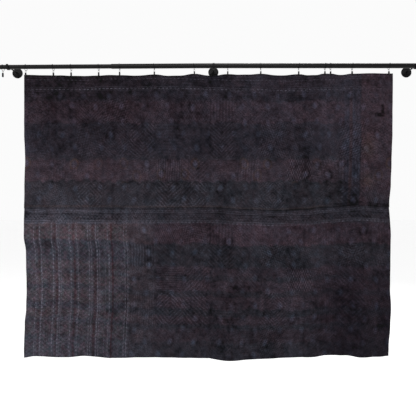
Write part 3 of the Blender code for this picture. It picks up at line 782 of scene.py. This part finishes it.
# %% [markdown]
# The pattern follows the cloth and not the room, so three things are kept on the points
# for the shaders: the cloth's own coordinates, the place in the stitch rows, and the dye
# with its painted shade.

# %% Keep the pattern on the points


def store(mesh, name, kind, values):
    """Put one array on the mesh's points as an attribute."""
    field = {"FLOAT": "value", "FLOAT_COLOR": "color", "FLOAT_VECTOR": "vector"}[kind]
    mesh.attributes.new(name, kind, "POINT").data.foreach_set(field, values.ravel())


def store_pattern(mesh, patches, x, drop, front, panel):
    """Keep the cloth's own coordinates, stitch rows, and dye with painted shade on the points."""
    level = border_level(x, drop) if panel == "lower" else swag_level(x, drop)
    store(mesh, "cloth", "FLOAT_VECTOR", np.stack([x, drop, level], axis=1))
    # Half the row number, because every other row is shifted by half a stitch, and a
    # quarter more of each, so that the shader's sine has its crest on a stitch.  A ribbed
    # patch counts whole rows and stays on the crest along them
    across, forward, voice, ribbed = row_place(patches, x, drop)
    across = np.where(ribbed, across, 0.5 * across) + 0.25
    forward = np.where(ribbed, 0.0, forward) + 0.25
    faint = 1.0 - 0.60 * ribbed
    rows = np.stack([across, forward, voice * faint * front], axis=1)
    store(mesh, "stitch_rows", "FLOAT_VECTOR", rows)
    store(mesh, "front", "FLOAT", front)
    colour = dye_and_shade_colour(x, drop, panel)
    store(mesh, "dye_and_shade", "FLOAT_COLOR", np.concatenate([colour, np.ones((len(x), 1))], axis=1))


# %% [markdown]
# The sheet is put together from its front, its back, and one line of points in the middle
# of the rim, which rounds it.

# %% One length of cloth
ACROSS, DOWN = 448, 160


def cloth_piece(name, patches, drop_low, drop_high, lap, material, panel):
    """Closed sheet; lap(x, drop) is its step forward or back near the seam."""
    columns, rows = ACROSS, DOWN
    parts = []
    for share, side in ((1, -1.0), (2, 1.0)):
        x, drop = sheet_side(columns // share, rows // share, drop_low, drop_high)
        sides = np.minimum(x - LEFT, RIGHT - x)
        rim = np.minimum(sides, np.minimum(drop - drop_low(x), drop_high(x) - drop))
        lift = THICKNESS / 2.0 + relief(patches, x, drop, rim)
        parts.append((x, drop, drape_depth(x, drop) + lap(x, drop) + side * lift))
    front = cloth_points(*parts[0])
    back = cloth_points(*parts[1])
    loop = edge_loop(columns, rows)
    back_loop = edge_loop(columns // 2, rows // 2) + len(front)
    x, drop = parts[0][0][loop], parts[0][1][loop]
    out_x = np.where(x <= LEFT, -1.0, 0.0) + np.where(x >= RIGHT, 1.0, 0.0)
    out_z = np.where(drop <= drop_low(x) + 1e-6, 1.0, 0.0)
    out_z = out_z - np.where(drop >= drop_high(x) - 1e-6, 1.0, 0.0)
    middle = cloth_points(x, drop, drape_depth(x, drop) + lap(x, drop))
    middle += 0.45 * THICKNESS * np.stack([out_x, 0.0 * x, out_z], axis=1)
    points = np.concatenate([front, back, middle])
    mid_loop = len(front) + len(back) + np.arange(len(loop))
    rim_front = np.stack([loop, np.roll(loop, -1), np.roll(mid_loop, -1), mid_loop], axis=1)
    rim_back = np.stack([
        mid_loop[0::2], mid_loop[1::2], np.roll(mid_loop[0::2], -1),
        np.roll(back_loop, -1), back_loop,
    ], axis=1)
    faces = [
        grid_faces(columns, rows, 0, False),
        grid_faces(columns // 2, rows // 2, len(front), True),
        rim_front, rim_back,
    ]
    piece = add_piece(name, points, faces, material)
    all_x = np.concatenate([parts[0][0], parts[1][0], x])
    all_drop = np.concatenate([parts[0][1], parts[1][1], drop])
    is_front = np.concatenate([np.ones(len(front)), np.zeros(len(back)), np.full(len(x), 0.5)])
    store_pattern(piece.data, patches, all_x, all_drop, is_front, panel)
    return piece


print("cells of the front", ACROSS, DOWN)

# %% [markdown]
# ## Overdyed cotton
# Layered cotton that has been dyed black over older prints is matt and nearly black, and
# a fibre fuzz gives it a little sheen at the edges.  Fine lines across it are steps of a
# colour ramp over a coordinate, and a sine along them breaks them into dots.

# %% Lines and dots in a shader


def line_mask(tree, coordinate, lines, dots):
    """Lines across a coordinate, each (place, half width, strength), broken into dots."""
    low, high = lines[0][0] - 0.05, lines[-1][0] + 0.05
    place = add_node(tree, RANGE, (coordinate, low, high))
    mask = add_node(tree, "ShaderNodeValToRGB", (place,))
    ramp = mask.node.color_ramp
    ramp.interpolation = "CONSTANT"
    ramp.elements[0].color = (0, 0, 0, 1)
    ramp.elements.remove(ramp.elements[1])
    for line, half, strength in lines:
        for edge, value in ((line - half, strength), (line + half, 0.0)):
            ramp.elements.new((edge - low) / (high - low)).color = (value, value, value, 1)
    return add_node(tree, MATH, (mask, dots), TIMES)


def wave_along(tree, value, period, low, high):
    """A sine along a value, from low to high, its crests and troughs a little flattened."""
    turned = add_node(tree, MATH, (value, 2.0 * math.pi / period), TIMES)
    wave = add_node(tree, MATH, (turned,), {"operation": "SINE"})
    return add_node(tree, RANGE, (wave, -0.8, 0.8, low, high))


# %% [markdown]
# The dye, with its painted shade, is read from the points.  The shader adds what is finer:
# dotted lines along the borders, flecks, the weave, and the soft hollows along the stitch
# rows, with painted shade in them.

# %% Overdyed cotton material
# A noise's scale is 1 over its size in metres: worn places of 70 mm, flecks of 5 mm, and a
# weave of about 1 mm, because the real one of 0.4 mm is too fine to show
WORN_SCALE = 14.0
FLECK_SCALE = 190.0
WEAVE_SCALE = 900.0


def overdyed_cotton(name, dotted, plain, stripes):
    """Matt cotton: dye and painted shade from the points, then lines, flecks and hollows' shade."""
    material, tree, shader = new_material(name, {
        "Roughness": 0.95, "Specular IOR Level": 0.12, "Sheen Weight": 0.01,
        "Sheen Roughness": 0.5,
    })
    # What is kept on the points, each from the output of its kind
    cloth, rows, front, dye_and_shade = (
        add_node(tree, "ShaderNodeAttribute", (), {"attribute_name": field}, output)
        for field, output in (("cloth", 1), ("stitch_rows", 1), ("front", 2), ("dye_and_shade", 0))
    )
    across = add_node(tree, "ShaderNodeSeparateXYZ", (cloth,))
    drop, level = across.node.outputs[1], across.node.outputs[2]

    lines = line_mask(tree, level, dotted, wave_along(tree, across, BORDER_DOTS, 0.1, 1.0))
    solid = line_mask(tree, level, plain, 1.0)
    lines = add_node(tree, MATH, (lines, solid), {"operation": "MAXIMUM"})
    if len(stripes):
        # Upright dotted stripes begin below the border
        upright = line_mask(tree, across, stripes, wave_along(tree, drop, DOT_STEP, 0.30, 1.0))
        inside = add_node(tree, RANGE, (level, 0.832, 0.838))
        upright = add_node(tree, MATH, (upright, inside), TIMES)
        lines = add_node(tree, MATH, (lines, upright), {"operation": "MAXIMUM"})
    else:
        # The border ends at the strip of the upper length
        kept = add_node(tree, RANGE, (across, 0.775, 0.785, 1.0, 0.25))
        lines = add_node(tree, MATH, (lines, kept), TIMES)
    # Worn places, where the lines have gone
    worn = add_node(tree, NOISE, {"Vector": cloth, "Scale": WORN_SCALE, "Detail": 3.0})
    worn = add_node(tree, RANGE, (worn, 0.36, 0.62, 0.34, 0.82))
    share = add_node(tree, MATH, (lines, front), TIMES)
    share = add_node(tree, MATH, (share, worn), TIMES)
    printed = {0: share, 6: dye_and_shade, 7: (*linear(GREY), 1.0)}
    printed = add_node(tree, "ShaderNodeMix", printed, {"data_type": "RGBA"}, 2)
    # Checkered hollows: the cloth is drawn in where the thread goes down, and the rows of
    # stitches are staggered, so the two waves are multiplied.  The colour is lighter on the
    # stitches and painted darker in the hollows, as their shade
    phase = add_node(tree, "ShaderNodeSeparateXYZ", (rows,))
    between_rows = wave_along(tree, phase, 1.0, -1.0, 1.0)
    between_stitches = wave_along(tree, phase.node.outputs[1], 1.0, -1.0, 1.0)
    checks = add_node(tree, MATH, (between_rows, between_stitches), TIMES)
    checks = add_node(tree, MATH, (checks, phase.node.outputs[2]), TIMES)
    stitch_and_hollow_shade = add_node(tree, RANGE, (checks, -1.0, 1.0, 0.60, 1.40))
    # Flecks of thread, about 5 mm long
    fleck = {"Vector": cloth, "Scale": FLECK_SCALE, "Detail": 2.0, "Roughness": 0.6}
    fleck = add_node(tree, RANGE, (add_node(tree, NOISE, fleck), 0.3, 0.7, 0.28, 1.72))
    shade = {0: printed, "Scale": add_node(tree, MATH, (fleck, stitch_and_hollow_shade), TIMES)}
    colour = add_node(tree, "ShaderNodeVectorMath", shade, {"operation": "SCALE"})
    tree.links.new(colour, shader["Base Color"])
    # The weave of old sari cotton is about 25 threads to the centimetre
    weave = add_node(tree, NOISE, {"Vector": cloth, "Scale": WEAVE_SCALE, "Detail": 1.0})
    height = add_node(tree, MATH, (checks, 1.5, weave), {"operation": "MULTIPLY_ADD"})
    bump = {"Height": height, "Strength": 0.6, "Distance": 0.0006}
    tree.links.new(add_node(tree, "ShaderNodeBump", bump), shader["Normal"])
    return material


# Distance between the dots of the borders' dotted lines
BORDER_DOTS = 0.0210
# Each line: drop, half width, strength
UPPER_DOTTED = ((0.071, 0.0016, 0.30), (0.1215, 0.0018, 0.50))
UPPER_PLAIN = ((0.113, 0.0012, 0.25), (0.1290, 0.0012, 0.12))
LOWER_DOTTED = ((0.7680, 0.0018, 0.28), (0.8265, 0.0016, 0.20), (0.8320, 0.0018, 0.46))
LOWER_PLAIN = ((0.7785, 0.0013, 0.20), (0.8205, 0.0012, 0.25), (0.8320, 0.0014, 0.10))
upper_cotton = overdyed_cotton("overdyed_cotton_upper", UPPER_DOTTED, UPPER_PLAIN, ())
lower_cotton = overdyed_cotton(
    "overdyed_cotton_lower", LOWER_DOTTED, LOWER_PLAIN, LIGHT_STRIPES
)
print("materials", upper_cotton.name, lower_cotton.name)

# %% [markdown]
# The two lengths overlap by 10 mm at the seam.  The upper one comes forward there and the
# lower one lies back, each by half of a thickness and a hair, so that they don't cut into
# each other.

# %% Make the cloth
LAP = 0.010
LAP_EASE = 0.026
LAP_STEP = (THICKNESS + GAP) / 2.0


def upper_lap(x, drop):
    """The upper length comes forward above the seam, where it lies on the lower one."""
    return -LAP_STEP * ease((drop - seam_drop(x) + LAP + LAP_EASE) / LAP_EASE)


def lower_lap(x, drop):
    """The lower length lies back at the seam and is in its own place below."""
    return LAP_STEP * (1.0 - ease((drop - seam_drop(x)) / LAP_EASE))


def tuck_drop(x):
    """Drop of the lower length's top edge, behind the upper one."""
    return seam_drop(x) - LAP


upper_cloth = cloth_piece(
    "upper_cloth", UPPER_PATCHES, edge_drop, seam_drop, upper_lap, upper_cotton, "upper"
)
lower_cloth = cloth_piece(
    "lower_cloth", LOWER_PATCHES, tuck_drop, hem_drop, lower_lap, lower_cotton, "lower"
)

# %% [markdown]
# ## The stitches
# Each stitch is a short thread that comes out of the cloth and goes in again.  It is a
# low bead of eight points: a triangular section at a quarter and three quarters of its
# length, and two ends sunk in the cloth.  Thirteen thousand of them could be instances of
# one stitch, but arrays make them one mesh as easily, and each follows the folds exactly.
# A real stitch is 3 to 4 mm long.  These are 9 mm, to match the wider rows.

# %% Plan the stitches
# No stitch lies nearer to an edge than this
STITCH_MARGIN = 0.006
# Turns of a patch's rows, for each letter
TURNS = {
    "-": (0.0,), "|": (90.0,), ":": (90.0,), "/": (-45.0,), "\\": (45.0,), "d": (45.0, -45.0),
    "v": (45.0, -45.0),
}


def patch_stitches(letter, width, height, rows_apart, step, rng):
    """Centres and directions of one patch's stitches, about the patch's centre."""
    count = int(0.75 * (width + height) / min(rows_apart, step)) + 1
    numbers = np.arange(-count, count + 1)
    k, m = np.meshgrid(numbers, numbers, indexing="ij")
    s = k * rows_apart + rng.normal(0.0, 0.0005, k.shape)
    t = (m + 0.5 * (k % 2)) * step + rng.normal(0.0, 0.0009, k.shape)
    found = []
    for turn in TURNS[letter]:
        c, n = math.cos(math.radians(turn)), math.sin(math.radians(turn))
        u, v = (t * c - s * n).ravel(), (t * n + s * c).ravel()
        keep = (np.abs(u) < width / 2.0 - 0.002) & (np.abs(v) < height / 2.0 - 0.003)
        if letter == "d":
            keep &= (u * v < 0.0) if turn > 0.0 else (u * v >= 0.0)
        if letter == "v":
            keep &= (u < 0.0) if turn > 0.0 else (u >= 0.0)
        # Turned so that the way across the rows is the way that their distance grows
        angle = math.radians(turn) + np.pi * ((letter == "d") & (v[keep] < 0.0))
        found.append(np.stack([u[keep], v[keep], angle], axis=1))
    return np.concatenate(found)


def sewn_stitches(patches, seed, top_line, bottom_line):
    """Place across, drop, direction and voice of each stitch between two edges."""
    rng = np.random.default_rng(seed)
    found = []
    for row, (top, bottom, letters) in enumerate(patches):
        width = (RIGHT - LEFT) / len(letters)
        for column, letter in enumerate(letters):
            apart = ROW_SPACING * ROW_PITCH[row, column]
            step = float(stitch_step(letter == ":", (row, column)))
            group = patch_stitches(letter, width, bottom - top, apart, step, rng)
            group[:, 0] += LEFT + width * (column + 0.5)
            group[:, 1] += (top + bottom) / 2.0
            voice = np.full((len(group), 1), voice_of(letter == ":", (row, column)))
            found.append(np.concatenate([group, voice], axis=1))
    x, drop, angle, voice = np.concatenate(found).T
    stray = wander(x, drop)
    turned = angle + rng.normal(0.0, 0.10, len(x))
    x, drop = x + stray * np.sin(angle), drop - stray * np.cos(angle)
    clear = (drop > top_line(x) + STITCH_MARGIN) & (drop < bottom_line(x) - STITCH_MARGIN)
    return np.stack([x, drop, turned, voice], axis=1)[clear]


upper_rows = sewn_stitches(UPPER_PATCHES, 71, edge_drop, seam_drop)
lower_rows = sewn_stitches(LOWER_PATCHES, 72, seam_drop, hem_drop)
print("stitches", len(upper_rows), len(lower_rows))

# %% [markdown]
# Cotton thread is spun, dull and a little lighter than the cloth, since it takes less dye
# where it stands proud.  Each stitch takes one colour from the cloth under it.

# %% Thread the stitches
# The twist of the thread is drawn at 0.7 mm, coarser than it is
TWIST_SCALE = 1500.0
STITCH_LENGTH = 0.0090
STITCH_WIDTH = 0.0019
STITCH_HEIGHT = 0.0008
# Along a stitch in half lengths, across it in widths, and out of the cloth in heights
STITCH_POINTS = np.array([
    (-1.0, 0.0, -0.4), (-0.5, -0.5, -0.3), (-0.5, 0.0, 1.0), (-0.5, 0.5, -0.3),
    (0.5, -0.5, -0.3), (0.5, 0.0, 1.0), (0.5, 0.5, -0.3), (1.0, 0.0, -0.4),
])
STITCH_ENDS = np.array([(0, 2, 1), (0, 3, 2), (0, 1, 3), (7, 4, 5), (7, 5, 6), (7, 6, 4)])
STITCH_SIDES = np.array([(1, 2, 5, 4), (2, 3, 6, 5), (3, 1, 4, 6)])


def thread_piece(name, rows, patches, lap, material, panel):
    """One mesh of stitches that lie on the front of a length."""
    x, drop, angle, voice = rows.T
    rng = np.random.default_rng(len(rows))
    half = STITCH_LENGTH / 2.0 * rng.uniform(0.7, 1.15, len(x))
    t = STITCH_POINTS[None, :, 0] * half[:, None]
    s = STITCH_POINTS[None, :, 1] * STITCH_WIDTH
    px = (x[:, None] + t * np.cos(angle)[:, None] - s * np.sin(angle)[:, None]).ravel()
    pd = (drop[:, None] + t * np.sin(angle)[:, None] + s * np.cos(angle)[:, None]).ravel()
    lift = np.tile(STITCH_POINTS[:, 2] * STITCH_HEIGHT, len(x))
    surface = THICKNESS / 2.0 + relief(patches, px, pd, np.full_like(px, 1.0))
    points = cloth_points(px, pd, drape_depth(px, pd) + lap(px, pd) - surface - lift)
    start = (np.arange(len(x)) * len(STITCH_POINTS))[:, None, None]
    faces = [(start + STITCH_ENDS).reshape(-1, 3), (start + STITCH_SIDES).reshape(-1, 4)]
    piece = add_piece(name, points, faces, material)
    # One colour for a whole stitch, from the cloth under it
    colour = dye_and_shade_colour(px, pd, panel)
    colour = colour.reshape(-1, 8, 3).mean(axis=1).repeat(8, axis=0)
    shade = (1.0 + voice * rng.uniform(0.3, 1.5, len(x))).repeat(8)[:, None]
    colour = np.concatenate([np.clip(colour * shade, 0, 1), np.ones((len(px), 1))], axis=1)
    store(piece.data, "dye_and_shade", "FLOAT_COLOR", colour)
    return piece


def sewing_thread(name):
    """Matt cotton thread in the colour of the cloth under it, a little lighter."""
    values = {"Roughness": 0.85, "Specular IOR Level": 0.15}
    material, tree, shader = new_material(name, values)
    dye_and_shade = add_node(tree, "ShaderNodeAttribute", (), {"attribute_name": "dye_and_shade"})
    tree.links.new(dye_and_shade, shader["Base Color"])
    place = add_node(tree, "ShaderNodeTexCoord", output=3)
    twist = add_node(tree, NOISE, {"Vector": place, "Scale": TWIST_SCALE, "Detail": 1.0})
    bump = {"Height": twist, "Strength": 0.4, "Distance": 0.0002}
    tree.links.new(add_node(tree, "ShaderNodeBump", bump), shader["Normal"])
    return material


quilting_thread = sewing_thread("dyed_cotton_thread")
upper_stitches = thread_piece(
    "upper_stitches", upper_rows, UPPER_PATCHES, upper_lap, quilting_thread, "upper"
)
lower_stitches = thread_piece(
    "lower_stitches", lower_rows, LOWER_PATCHES, lower_lap, quilting_thread, "lower"
)

# %% [markdown]
# ## Black steel
# The rod, its brackets and the rings are thin steel with a satin black coat.  The coat
# takes broad, soft highlights, and fine grain breaks them up.

# %% Black steel materials


def coated_steel(name, hex_colour, roughness, gloss, grain):
    """Satin black coat: a noise makes its roughness uneven and its surface bumpy.

    The grain is 1 over its size in metres, about a millimetre, so that it shows.
    """
    values = {"Base Color": (*linear(hex_colour), 1.0), "Specular IOR Level": gloss}
    material, tree, shader = new_material(name, values)
    place = add_node(tree, "ShaderNodeTexCoord", output=3)
    noise = add_node(tree, NOISE, {"Vector": place, "Scale": grain, "Detail": 3.0})
    rough = add_node(tree, RANGE, (noise, 0.0, 1.0, roughness - 0.08, roughness + 0.10))
    tree.links.new(rough, shader["Roughness"])
    bump = {"Height": noise, "Strength": 0.15, "Distance": 0.0002}
    tree.links.new(add_node(tree, "ShaderNodeBump", bump), shader["Normal"])
    return material


tube_coat = coated_steel("satin_black_tube", "#060506", 0.30, 0.14, 900.0)
rod_coat = coated_steel("satin_black_steel", "#0b0a0b", 0.40, 0.10, 900.0)
wire_coat = coated_steel("black_wire", "#0b0a0b", 0.38, 0.10, 1400.0)
for name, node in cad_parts.items():
    if not node.hide_render and not name.startswith(("ring_", "clip_")):
        node.data.materials.clear()
        node.data.materials.append(rod_coat)
print("coats", tube_coat.name, rod_coat.name, wire_coat.name)

# %% [markdown]
# ## The rod
# The rod is a thin tube that slides in a thicker one, and sags a little toward its left
# end.  The frame's tubes have few sides, so rounder ones take their places.  A tube or a
# wire is a circle of points carried along a path.

# %% Tubes
THICK_TUBE = 0.0127
THIN_TUBE = 0.0111
TUBE_MOUTH = -0.541
TUBE_SIDES = 48
# The rod slopes by 6.5 mm from the middle bracket to the left end
ROD_SLOPE = 0.0065 / 1.038


def rod_height(x):
    """Height of the rod's axis: level at the right, a parabola, then a slope to the left."""
    run = np.maximum(-x, 0.0)
    return -ROD_SLOPE * np.where(run < 0.1, run**2 / 0.2, run - 0.05)


def hang_height(x):
    """Height of the rod's top, where a ring hangs."""
    return rod_height(x) + np.where(x > TUBE_MOUTH, THICK_TUBE, THIN_TUBE) + GAP


def wire_tube(path, tangent, outward, radius, sides, closed):
    """Points and faces of a wire: at each station of a flat path, a circle of points."""
    turn = (2.0 * np.pi * np.arange(sides) / sides)[None, :, None]
    circle = np.cos(turn) * outward[:, None] + np.sin(turn) * np.cross(tangent, outward)[:, None]
    points = (path[:, None] + np.reshape(radius, (-1, 1, 1)) * circle).reshape(-1, 3)
    count = len(path)
    i, j = np.meshgrid(np.arange(count - (not closed)), np.arange(sides), indexing="ij")
    after, beside = (i + 1) % count, (j + 1) % sides
    quads = np.stack([
        i * sides + j, i * sides + beside, after * sides + beside, after * sides + j,
    ], axis=-1)
    faces = [quads.reshape(-1, 4)]
    if not closed:
        faces += [np.arange(sides)[None, ::-1], np.arange(sides)[None] + (count - 1) * sides]
    return points, faces


def tube_parts(stations):
    """A tube along the rod's axis; each station is a place across and a radius."""
    x, radius = np.array(stations).T
    path = np.stack([x, 0.0 * x - STANDOFF, rod_height(x)], axis=1)
    along_x = np.tile([1.0, 0.0, 0.0], (len(x), 1))
    outward = np.roll(along_x, 1, axis=1)
    return wire_tube(path, along_x, outward, radius, TUBE_SIDES, False)


def join_parts(first, second):
    """Two sets of points and faces as one."""
    shifted = [group + len(first[0]) for group in second[1]]
    return np.concatenate([first[0], second[0]]), first[1] + shifted


bend = [(x, THICK_TUBE) for x in np.linspace(-0.10, 0.0, 9)]
thick_tube = tube_parts([
    (TUBE_MOUTH + 0.020, THIN_TUBE + GAP), (TUBE_MOUTH, THIN_TUBE + GAP),
    (TUBE_MOUTH, THICK_TUBE - 0.0004), (TUBE_MOUTH + 0.0004, THICK_TUBE),
    *bend, (1.150, THICK_TUBE),
])
thin_tube = tube_parts([(-1.200, THIN_TUBE), (TUBE_MOUTH + 0.016, THIN_TUBE)])
print("stations of the thick tube", len(bend) + 5)

# %% [markdown]
# ## Rings and bails
# A ring is one turn of 2 mm wire.  The clip hangs in it by its bail, an upside-down U of
# thinner wire.  Both are circles carried along an arc in one plane.

# %% Rings and bails
RING_CENTRE = 0.0160 * math.cos(math.pi / 16.0)
RING_RADIUS = RING_CENTRE + 0.0010
RING_WIRE = 0.0010
BAIL_WIRE = 0.0006
BAIL_HALF_WIDTH = 0.0026
CLIP_HANG = 0.0425
LOWEST_WIRE = RING_CENTRE + RING_RADIUS
SPARE_RING = -1.117


def ring_parts():
    """A ring of wire that hangs from the origin by the inner face of its top."""
    angle = 2.0 * np.pi * np.arange(48) / 48.0
    outward = np.stack([0.0 * angle, np.cos(angle), np.sin(angle)], axis=1)
    tangent = np.stack([0.0 * angle, -np.sin(angle), np.cos(angle)], axis=1)
    path = outward * RING_RADIUS - np.array([0.0, 0.0, RING_CENTRE])
    return wire_tube(path, tangent, outward, RING_WIRE, 10, True)


def bail_parts():
    """An upside-down U of wire: half a circle, and two legs that end in the clip's head."""
    angle = np.pi * (1.0 - np.arange(13) / 12.0)
    # The arch clears the ring's lowest wire by the gap
    arch = CLIP_HANG - LOWEST_WIRE + RING_WIRE + GAP + 2.0 * BAIL_WIRE
    arch = arch - BAIL_HALF_WIDTH - BAIL_WIRE
    outward = np.stack([np.cos(angle), 0.0 * angle, np.sin(angle)], axis=1)
    tangent = np.stack([np.sin(angle), 0.0 * angle, -np.cos(angle)], axis=1)
    path = outward * BAIL_HALF_WIDTH + np.array([0.0, 0.0, arch])
    root = np.array([[-BAIL_HALF_WIDTH, 0.0, -0.0015], [BAIL_HALF_WIDTH, 0.0, -0.0015]])
    path = np.concatenate([root[:1], path, root[1:]])
    outward = np.concatenate([outward[:1], outward, outward[-1:]])
    tangent = np.concatenate([tangent[:1], tangent, tangent[-1:]])
    return wire_tube(path, tangent, outward, BAIL_WIRE, 8, False)


print("ring", round(2000.0 * (RING_RADIUS + RING_WIRE), 1), "mm across")

# %% [markdown]
# ## Clips
# The clip is pressed steel with two jaws.  Its body is an outline in the YZ plane, drawn
# out to the clip's width, with its two ends drawn in a little to soften the edges.

# %% Clips
# Half outline of the clip, from the top of its head round a jaw to the root of the slot
CLIP_OUTLINE = np.array([
    (0, 0), (1.3, -0.1), (2, -0.7), (2.5, -1.8), (3.2, -3.2), (3.5, -4.5), (3.4, -9), (3.2, -15),
    (3.2, -20.6), (2.9, -21.7), (2.5, -22), (2.1, -21.7), (1.8, -20.8), (1.8, -15), (1.8, -10),
    (1.4, -9.3), (0.7, -9), (0, -8.9),
]) / 1000.0
# The clip's sections across it: the outer two are drawn in by the rounding
CLIP_SECTIONS = ((-0.0035, 1.0), (-0.0031, 0.0), (0.0031, 0.0), (0.0035, 1.0))
CLIP_ROUNDING = 0.00035


def clip_parts():
    """The clip's body: four copies of its outline across it, the outer two drawn in."""
    mirrored = CLIP_OUTLINE[-2:0:-1] * np.array([-1.0, 1.0])
    outline = np.concatenate([CLIP_OUTLINE, mirrored])
    side = np.roll(outline, -1, axis=0) - np.roll(outline, 1, axis=0)
    inward = np.stack([side[:, 1], -side[:, 0]], axis=1)
    inward = CLIP_ROUNDING * inward / np.linalg.norm(inward, axis=1)[:, None]
    loops = []
    for across, drawn_in in CLIP_SECTIONS:
        flat = outline + drawn_in * inward
        loops.append(np.concatenate([np.full((len(flat), 1), across), flat], axis=1))
    count = len(outline)
    i, j = np.meshgrid(np.arange(3), np.arange(count), indexing="ij")
    beside = (j + 1) % count
    quads = np.stack([
        i * count + j, (i + 1) * count + j, (i + 1) * count + beside, i * count + beside,
    ], axis=-1)
    ends = [np.arange(count)[None], np.arange(count)[None, ::-1] + 3 * count]
    return np.concatenate(loops), [quads.reshape(-1, 4), *ends]


print("clip", round(-1000.0 * CLIP_OUTLINE[:, 1].min(), 1), "mm high")

# %% [markdown]
# Each ring leans with the pull of its cloth, so its place and its turn come from the row
# of its clip, and the clip hangs upright below it.

# %% Hang the rings and clips on the rod


def put_together(parts, places):
    """Copies of a part: points times each place's turn about Y, then moved to the place."""
    points, faces = parts
    all_points = []
    all_faces = [[] for _ in faces]
    for number, (x, height, turn) in enumerate(places):
        c, s = math.cos(turn), math.sin(turn)
        turned = points @ np.array([[c, 0.0, -s], [0.0, 1.0, 0.0], [s, 0.0, c]])
        all_points.append(turned + np.array([x, -STANDOFF, height]))
        for group, found in zip(faces, all_faces):
            found.append(group + number * len(points))
    return np.concatenate(all_points), [np.concatenate(found) for found in all_faces]


hung_at = np.append(CLIPS[:, 0], SPARE_RING)
lean = np.arctan2(np.append(CLIPS[:, 2], 0.0), CLIP_HANG)
ring_top = hang_height(hung_at)
clip_top = ring_top - CLIP_HANG + LOWEST_WIRE * (1.0 - np.cos(lean))
ring_places = np.stack([hung_at + LOWEST_WIRE * np.sin(lean), ring_top, lean], axis=1)
clip_places = np.stack([hung_at, clip_top, 0.0 * lean], axis=1)
tubes = add_piece("rod_tubes", *join_parts(thick_tube, thin_tube), tube_coat)
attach(tubes, "root")
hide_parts("rod_thick_tube", "rod_thin_tube")
rings = add_piece("rings", *put_together(ring_parts(), ring_places), wire_coat)
clips = add_piece(
    "clips", *put_together(join_parts(clip_parts(), bail_parts()), clip_places), wire_coat
)
# Edges sharper than this stay sharp
for piece in (tubes, clips):
    piece.data.set_sharp_from_angle(angle=math.radians(40.0))
tags = [f"{number:02d}" for number in range(1, len(CLIPS) + 1)] + ["spare"]
for piece, kind in ((rings, "ring"), (clips, "clip")):
    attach(piece, "root")
    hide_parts(*[f"{kind}_{tag}" for tag in tags])

# %% [markdown]
# The cloth rides on the frame, and its stitches go with it.

# %% Tie the cloth to the frame
for cloth, node in ((upper_cloth, "upper_panel"), (lower_cloth, "lower_panel")):
    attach(cloth, "root")
    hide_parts(node)
for stitches in (upper_stitches, lower_stitches):
    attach(stitches, "root")
print("cloth hung", upper_cloth.name, lower_cloth.name)

# %% [markdown]
# ## Floor, light and camera
# The object hangs in a pale studio with a plain floor and even light all round.  A key
# light from the upper left gives the folds their shape, a long one draws a highlight along
# the rod, a top light lifts the upper edge, and a back light serves views from behind.

# %% Stage
FLOOR_LEVEL = frame_low.z - 0.45
FLOOR_REACH = 40.0
# Each light: place, what it faces, width and height, power
LIGHTS = {
    "key_light": ((-2.2, -3.2, 1.2), (0.0, -0.1, -0.8), (1.8, 1.8), 24.0),
    "long_light": ((0.0, -2.6, 0.55), (0.0, -0.1, 0.0), (2.6, 0.15), 28.0),
    "top_light": ((0.2, -0.70, 2.0), (0.1, -0.1, 0.0), (0.9, 0.9), 25.0),
    "back_light": ((1.5, 3.0, 1.5), (0.0, -0.1, -0.8), (1.8, 1.8), 60.0),
}
# A matt pale floor, so that it only takes the soft shadow
pale_floor = new_material(
    "pale_floor", {"Base Color": (*linear("#fdfdfd"), 1.0), "Roughness": 0.9}
)[0]
floor_points = np.array([
    (FLOOR_REACH * x, FLOOR_REACH * y, FLOOR_LEVEL)
    for x, y in ((-1, -1), (1, -1), (1, 1), (-1, 1))
])
floor = add_piece("floor", floor_points, [np.array([[0, 1, 2, 3]])], pale_floor)

world = bpy.data.worlds.new("pale_studio")
world.use_nodes = True
bpy.context.scene.world = world
background = world.node_tree.nodes["Background"]
background.inputs["Strength"].default_value = 0.965
background.inputs["Color"].default_value = (1.0, 1.0, 1.0, 1.0)

for name, (place, target, size, power) in LIGHTS.items():
    light = bpy.data.lights.new(name, "AREA")
    light.shape = "RECTANGLE"
    light.size, light.size_y = size
    light.energy = power
    lamp = bpy.data.objects.new(name, light)
    bpy.context.scene.collection.objects.link(lamp)
    lamp.location = place
    toward = np.array(target) - np.array(place)
    tilt = math.acos(-toward[2] / np.linalg.norm(toward))
    lamp.rotation_euler = (tilt, 0.0, math.atan2(-toward[0], toward[1]))
    print(name, power)

# %% [markdown]
# The camera is level and square to the wall, as in the photo.  Its lens comes from the
# width that 416 pixels of 5.3 mm have at the cloth.

# %% Camera
ROD_DISTANCE = 2.15
PIXEL = 0.0053
camera_data = bpy.data.cameras.new("camera")
camera_data.sensor_width = 36.0
camera_data.lens = 36.0 * ROD_DISTANCE / (416 * PIXEL)
camera = bpy.data.objects.new("camera", camera_data)
bpy.context.scene.collection.objects.link(camera)
camera.location = (-0.0297, -STANDOFF - ROD_DISTANCE, -0.7537)
camera.rotation_euler = (math.pi / 2.0, 0.0, 0.0)
bpy.context.scene.camera = camera
bpy.context.scene.view_settings.view_transform = "Standard"
print("lens", round(camera_data.lens, 2), "mm")
